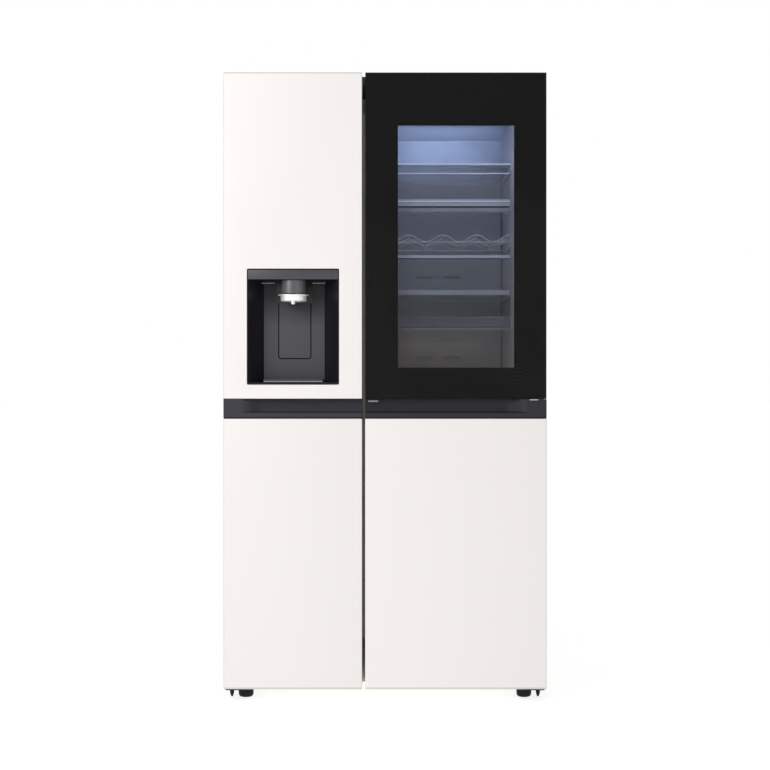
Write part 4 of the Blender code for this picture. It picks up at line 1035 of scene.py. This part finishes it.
def make_compartments():
    for node in ("fridge_shelf_1", "fridge_shelf_2", "fridge_shelf_3"):
        x, y, z = extents(node)
        trim_back = y[0] + 0.012
        glass_top = z[1] - 0.002
        sheet = box(x, (trim_back - 0.004, y[1]), (glass_top - 0.004, glass_top))
        piece(f"{node}_glass", sheet, "shelf_glass", "cabinet", (node,), edge=0.0005)
        outline = rounded(rectangle((y[0], trim_back), (z[0], z[1])), 0.0018, 3)
        trim = piece(f"{node}_trim", prism("x", outline, x[0], x[1]), "clear_trim", "cabinet")
        cut(trim, box(shrunk(x, -0.01), (trim_back - 0.0043, trim_back + 0.01),
                (glass_top - 0.0043, glass_top + HAIR)))
        soften(trim)
        bead = rounded(rectangle((y[0] - 0.0012, y[0] - 0.0001), (z[1] - 0.0042, z[1] - 0.0006)), 0.0005, 2)
        # The top shelf's bead takes the glowing trim, a painted highlight.
        edge = "glass_edge_painted_glow" if node == "fridge_shelf_1" else "clear_trim"
        piece(f"{node}_bead", prism("x", bead, x[0], x[1]), edge, "cabinet")
    for node in ("freezer_drawer", "crisper_drawer"):
        dx, dy, dz = extents(node)
        grip = rounded(rectangle((dy[0] - 0.009, dy[0] - 0.0002), (dz[1] - 0.030, dz[1] - 0.004)), 0.003, 4)
        piece(f"{node}_grip", prism("x", grip, dx[0] + 0.022, dx[1] - 0.022), "white", "cabinet",
              edge=0.001)
    make_rack()


def make_rack():
    """Chrome wires bent in a wave for each bottle, on rods that run from front to back."""
    x, y, z = extents("bottle_rack")
    waves = 4
    steps = 16
    wire = 0.0022
    height = (z[1] - z[0] - 2 * wire - 0.002) / 2
    middle = z[0] + wire + height + 0.001
    shapes = []
    rows = 3
    for row in range(rows):
        depth = y[0] + wire * 2 + (y[1] - y[0] - 4 * wire) * row / (rows - 1)
        points = []
        for k in range(waves * steps + 1):
            share = k / (waves * steps)
            points.append((x[0] + 0.003 + (x[1] - x[0] - 0.006) * share, depth,
                middle + height * math.cos(2 * math.pi * waves * share)))
        shapes.append(tube(points, wire))
    low = z[0] + wire
    for k in range(2 * waves + 1):
        px = x[0] + 0.003 + (x[1] - x[0] - 0.006) * k / (2 * waves)
        pz = middle + height * math.cos(math.pi * k) + wire * 0.8 * (-1 if k % 2 == 0 else 1)
        shapes.append(tube([(px, y[0] + 0.001, pz), (px, y[1] - 0.001, pz)], wire * 0.8))
    shapes.append(tube([(x[0], y[0] + wire, low), (x[1], y[0] + wire, low)], wire))
    shapes.append(tube([(x[0], y[1] - wire, low), (x[1], y[1] - wire, low)], wire))
    piece("bottle_rack_wires", joined(*shapes), "rack_wire", "cabinet", ("bottle_rack",),
          smooth=60)


def make_feet():
    for side in ("left", "right"):
        x, y, z = extents(f"levelling_foot_{side}")
        centre = ((x[0] + x[1]) / 2, (y[0] + y[1]) / 2, 0)
        r = (x[1] - x[0]) / 2 * 1.03
        foot = turned([
            (0, 0), (r * 0.62, 0), (r * 0.80, 0.0012), (r * 0.93, 0.0040), (r, 0.0090), (r, 0.0250),
            (r * 0.97, 0.0264),
            (r * 0.88, 0.0275), (0, 0.0275),
        ], centre, segments=72)
        for v in foot.verts:
            offset = v.co - Vector(centre)
            flat = Vector((offset.x, offset.y))
            if 0.006 < offset.z < 0.026 and flat.length > r * 0.95:
                # Grip flutes run up the foot's side.
                turn = math.atan2(flat.y, flat.x)
                flat *= 1 - FLUTE_DEPTH * (0.5 + 0.5 * math.cos(turn * FLUTES))
                v.co.x, v.co.y = centre[0] + flat.x, centre[1] + flat.y
        low, high = 0.0270, z[1] - 0.0005
        root, crest, turns = 0.0046, 0.0054, 5
        pitch = (high - low) / turns
        stem = [(0, low)]
        for k in range(turns):
            stem += [(root, low + pitch * k), (crest, low + pitch * (k + 0.5))]
        stem += [(root, high), (0, z[1])]
        shapes = joined(foot, turned(stem, centre, segments=24))
        piece(f"foot_{side}_pad", shapes, "frame_black", f"foot_{side}",
              (f"levelling_foot_{side}",))

        x, y, z = extents(f"rear_roller_{side}")
        centre = ((x[0] + x[1]) / 2, (y[0] + y[1]) / 2, (z[0] + z[1]) / 2)
        r = (z[1] - z[0]) / 2
        half = (x[1] - x[0]) / 2
        rim = [(0.0042, 0), (0.0080, 0), (0.0090, 0.002), (r - 0.004, 0.002), (r - 0.003, 0),
               (r - 0.001, 0),
               (r, 0.001)]
        profile = [(out, inward - half) for out, inward in rim]
        profile += [(out, half - inward) for out, inward in reversed(rim)]
        piece(f"roller_{side}_wheel", turned(profile, centre, "x", 48), "tyre", f"roller_{side}",
              (f"rear_roller_{side}",))


def make_machine_room():
    x, y, z = extents("compressor")
    cx, cy = (x[0] + x[1]) / 2, (y[0] + y[1]) / 2
    r = 0.075
    low, shoulder = 0.0535, 0.165
    dome = [(0, low), (r - 0.006, low), (r, 0.060), (r, 0.110), (r, 0.1115), (r, 0.113), (r, shoulder)]
    for k in range(1, 9):
        turn = math.radians(90 * k / 9)
        dome.append((r * math.cos(turn), shoulder + (z[1] - shoulder) * math.sin(turn)))
    dome.append((0, z[1]))
    shapes = [turned(dome, (cx, cy, 0), segments=56)]
    shapes.append(box(x, y, (z[0], z[0] + 0.003)))
    for sx in (-1, 1):
        for sy in (-1, 1):
            place = (cx + sx * 0.080, cy + sy * 0.065, 0)
            shapes.append(turned([(0, z[0] + 0.003), (0.010, z[0] + 0.003), (0.008, 0.0520),
                (0.010, 0.0600), (0, 0.0600)], place, segments=24))
    piece("compressor_shell", joined(*shapes), "black_steel", "cabinet", ("compressor",),
          smooth=40)

    x, y, z = extents("power_cord_gland")
    cx, cz = (x[0] + x[1]) / 2, (z[0] + z[1]) / 2
    gland = turned([
        (0.0045, 0.350), (0.009, 0.340), (0.0120, 0.344), (0.0120, 0.3655), (0.0080, 0.3672),
        (0.0045, 0.3672),
    ], (cx, 0, cz), "y", 40)
    piece("mains_inlet_gland", gland, "black", "cabinet", ("power_cord_gland",))
    x, y, z = extents("water_inlet")
    cx, cz = (x[0] + x[1]) / 2, (z[0] + z[1]) / 2
    valve = [(0.008, 0.340), (0, 0.339), (0, 0.300), (0.020, 0.300), (0.020, 0.335), (0.0135, 0.335)]
    for k in range(8):
        valve += [(0.0135, 0.340 + 0.003 * k), (0.0127, 0.3415 + 0.003 * k)]
    valve += [(0.0135, 0.3655), (0.0125, 0.3665), (0.008, 0.3665)]
    piece("water_valve_union", turned(valve, (cx, 0, cz), "y", 40), "white", "cabinet",
          ("water_inlet",))
    make_fan()


def make_fan():
    x = extents("condenser_fan")[0]
    centre = Vector(hinge("fan"))
    hub_r, tip = 0.020, 0.0655
    shapes = [turned([
        (0, x[0] - centre.x), (hub_r, x[0] - centre.x), (hub_r, x[1] - centre.x - 0.003),
        (hub_r - 0.003, x[1] - centre.x), (0, x[1] - centre.x),
    ], centre, "x", 36)]
    for blade in range(5):
        start = 2 * math.pi * blade / 5
        bm = bmesh.new()
        rows, across = 6, 6
        grid = []
        for i in range(rows + 1):
            radius = hub_r - 0.002 + (tip - hub_r + 0.002) * i / rows
            row = []
            for j in range(across + 1):
                sweep = (j / across - 0.5) * 0.80 + 0.18 * (i / rows) ** 2
                lift = 0.0045 * math.sin((j / across - 0.5) * math.pi) + 0.0008
                row.append(bm.verts.new((centre.x + 0.0025 + lift,
                    centre.y + radius * math.cos(start + sweep),
                    centre.z + radius * math.sin(start + sweep))))
            grid.append(row)
        for i in range(rows):
            for j in range(across):
                bm.faces.new((grid[i][j], grid[i][j + 1], grid[i + 1][j + 1], grid[i + 1][j]))
        faces = list(bm.faces)
        bmesh.ops.solidify(bm, geom=faces, thickness=0.0014)
        bmesh.ops.recalc_face_normals(bm, faces=bm.faces)
        shapes.append(bm)
    piece("condenser_fan_rotor", joined(*shapes), "black", "fan", ("condenser_fan",),
          smooth=40)


# ---------------------------------------------------------------- studio


def make_stage():
    """A pale floor, wide enough to reach the horizon."""
    half = 60.0
    mesh = bpy.data.meshes.new("studio_floor")
    bm = bmesh.new()
    bm.faces.new([bm.verts.new((px, py, -0.0002)) for px, py in rectangle((-half, half), (-half, half))])
    bm.to_mesh(mesh)
    bm.free()
    floor = surface("studio_paper", (0.36, 0.36, 0.36), 0.85, 0.003, 0.6, 200.0, 0.00001, 0.03,
            specular=0.05,
                    **glow((1, 1, 1), 0.82))
    mesh.materials.append(floor)
    obj = bpy.data.objects.new("studio_floor", mesh)
    bpy.context.scene.collection.objects.link(obj)


def aim(obj, target):
    direction = Vector(target) - obj.location
    obj.rotation_euler = direction.to_track_quat("-Z", "Y").to_euler()


# Place, target, width and height, power, colour. The last three stand unseen inside the fridge: behind the
# outer door's top edge, at the lower shelf, and at the upper shelf towards the back.
LIGHTS = {
    "key": ((-2.9, -3.6, 2.6), (0, 0, 0.95), (2.4, 2.4), 100, (1, 1, 1)),
    "fill": ((2.4, -4.2, 1.6), (0, 0, 0.9), (2.6, 2.6), 14, (1, 1, 1)),
    "door_strip": ((0.1805, -0.318, 1.672), (0.1805, -0.20, 1.20), (0.22, 0.01), 0.28, (0.80, 0.64, 0.86)),
    "low_cavity": ((0.1705, -0.105, 1.062), (0.1705, 0.12, 0.60), (0.24, 0.24), 0.14, (1.0, 0.70, 0.50)),
    "upper_wash": ((0.1705, -0.080, 1.585), (0.1705, 0.262, 1.715), (0.30, 0.03), 0.27, (0.49, 0.63, 1.0)),
}
WASH_SPREAD = math.radians(64)
ROOM_LIGHT = 0.50  # the room looks white, and lights the object with this share


def make_lights():
    for name, (place, target, size, power, colour) in LIGHTS.items():
        light = bpy.data.lights.new(name, "AREA")
        light.shape = "RECTANGLE"
        light.size, light.size_y = size
        light.energy = power
        light.color = colour
        obj = bpy.data.objects.new(name, light)
        bpy.context.scene.collection.objects.link(obj)
        obj.location = place
        direction = Vector(target) - obj.location
        obj.rotation_euler = direction.to_track_quat("-Z", "Y").to_euler()
        obj.visible_camera = False
        if name == "upper_wash":
            light.spread = WASH_SPREAD


def make_studio():
    scene = bpy.context.scene
    scene.view_settings.view_transform = "Standard"
    # Several clear walls lie one behind another in the window.
    scene.cycles.transparent_max_bounces = 32
    world = bpy.data.worlds.new("studio")
    scene.world = world
    world.use_nodes = True
    tree = world.node_tree
    tree.nodes["Background"].inputs["Strength"].default_value = 1.0
    path = tree.nodes.new("ShaderNodeLightPath")
    mix = tree.nodes.new("ShaderNodeMix")
    mix.data_type = "RGBA"
    mix.inputs[6].default_value = (ROOM_LIGHT, ROOM_LIGHT, ROOM_LIGHT, 1)
    mix.inputs[7].default_value = (1, 1, 1, 1)
    tree.links.new(path.outputs["Is Camera Ray"], mix.inputs[0])
    tree.links.new(mix.outputs[2], tree.nodes["Background"].inputs["Color"])
    make_lights()
    camera = bpy.data.cameras.new("camera")
    camera.sensor_width = SENSOR
    camera.lens = SENSOR * CAMERA_DISTANCE / VIEW_WIDTH
    obj = bpy.data.objects.new("camera", camera)
    scene.collection.objects.link(obj)
    front = cad_bounds[0][1]
    obj.location = (0, front - CAMERA_DISTANCE, CAMERA_HEIGHT)
    obj.rotation_euler = (math.pi / 2, 0, 0)
    scene.camera = obj


make_studio()
make_stage()
make_cabinet()
make_compartments()
make_freezer_door()
make_dispenser()
make_fridge_door()
make_door_sides()
make_outer_door()
make_feet()
make_machine_room()
for node, (material, bevel) in KEPT.items():
    dress(node, material, bevel)
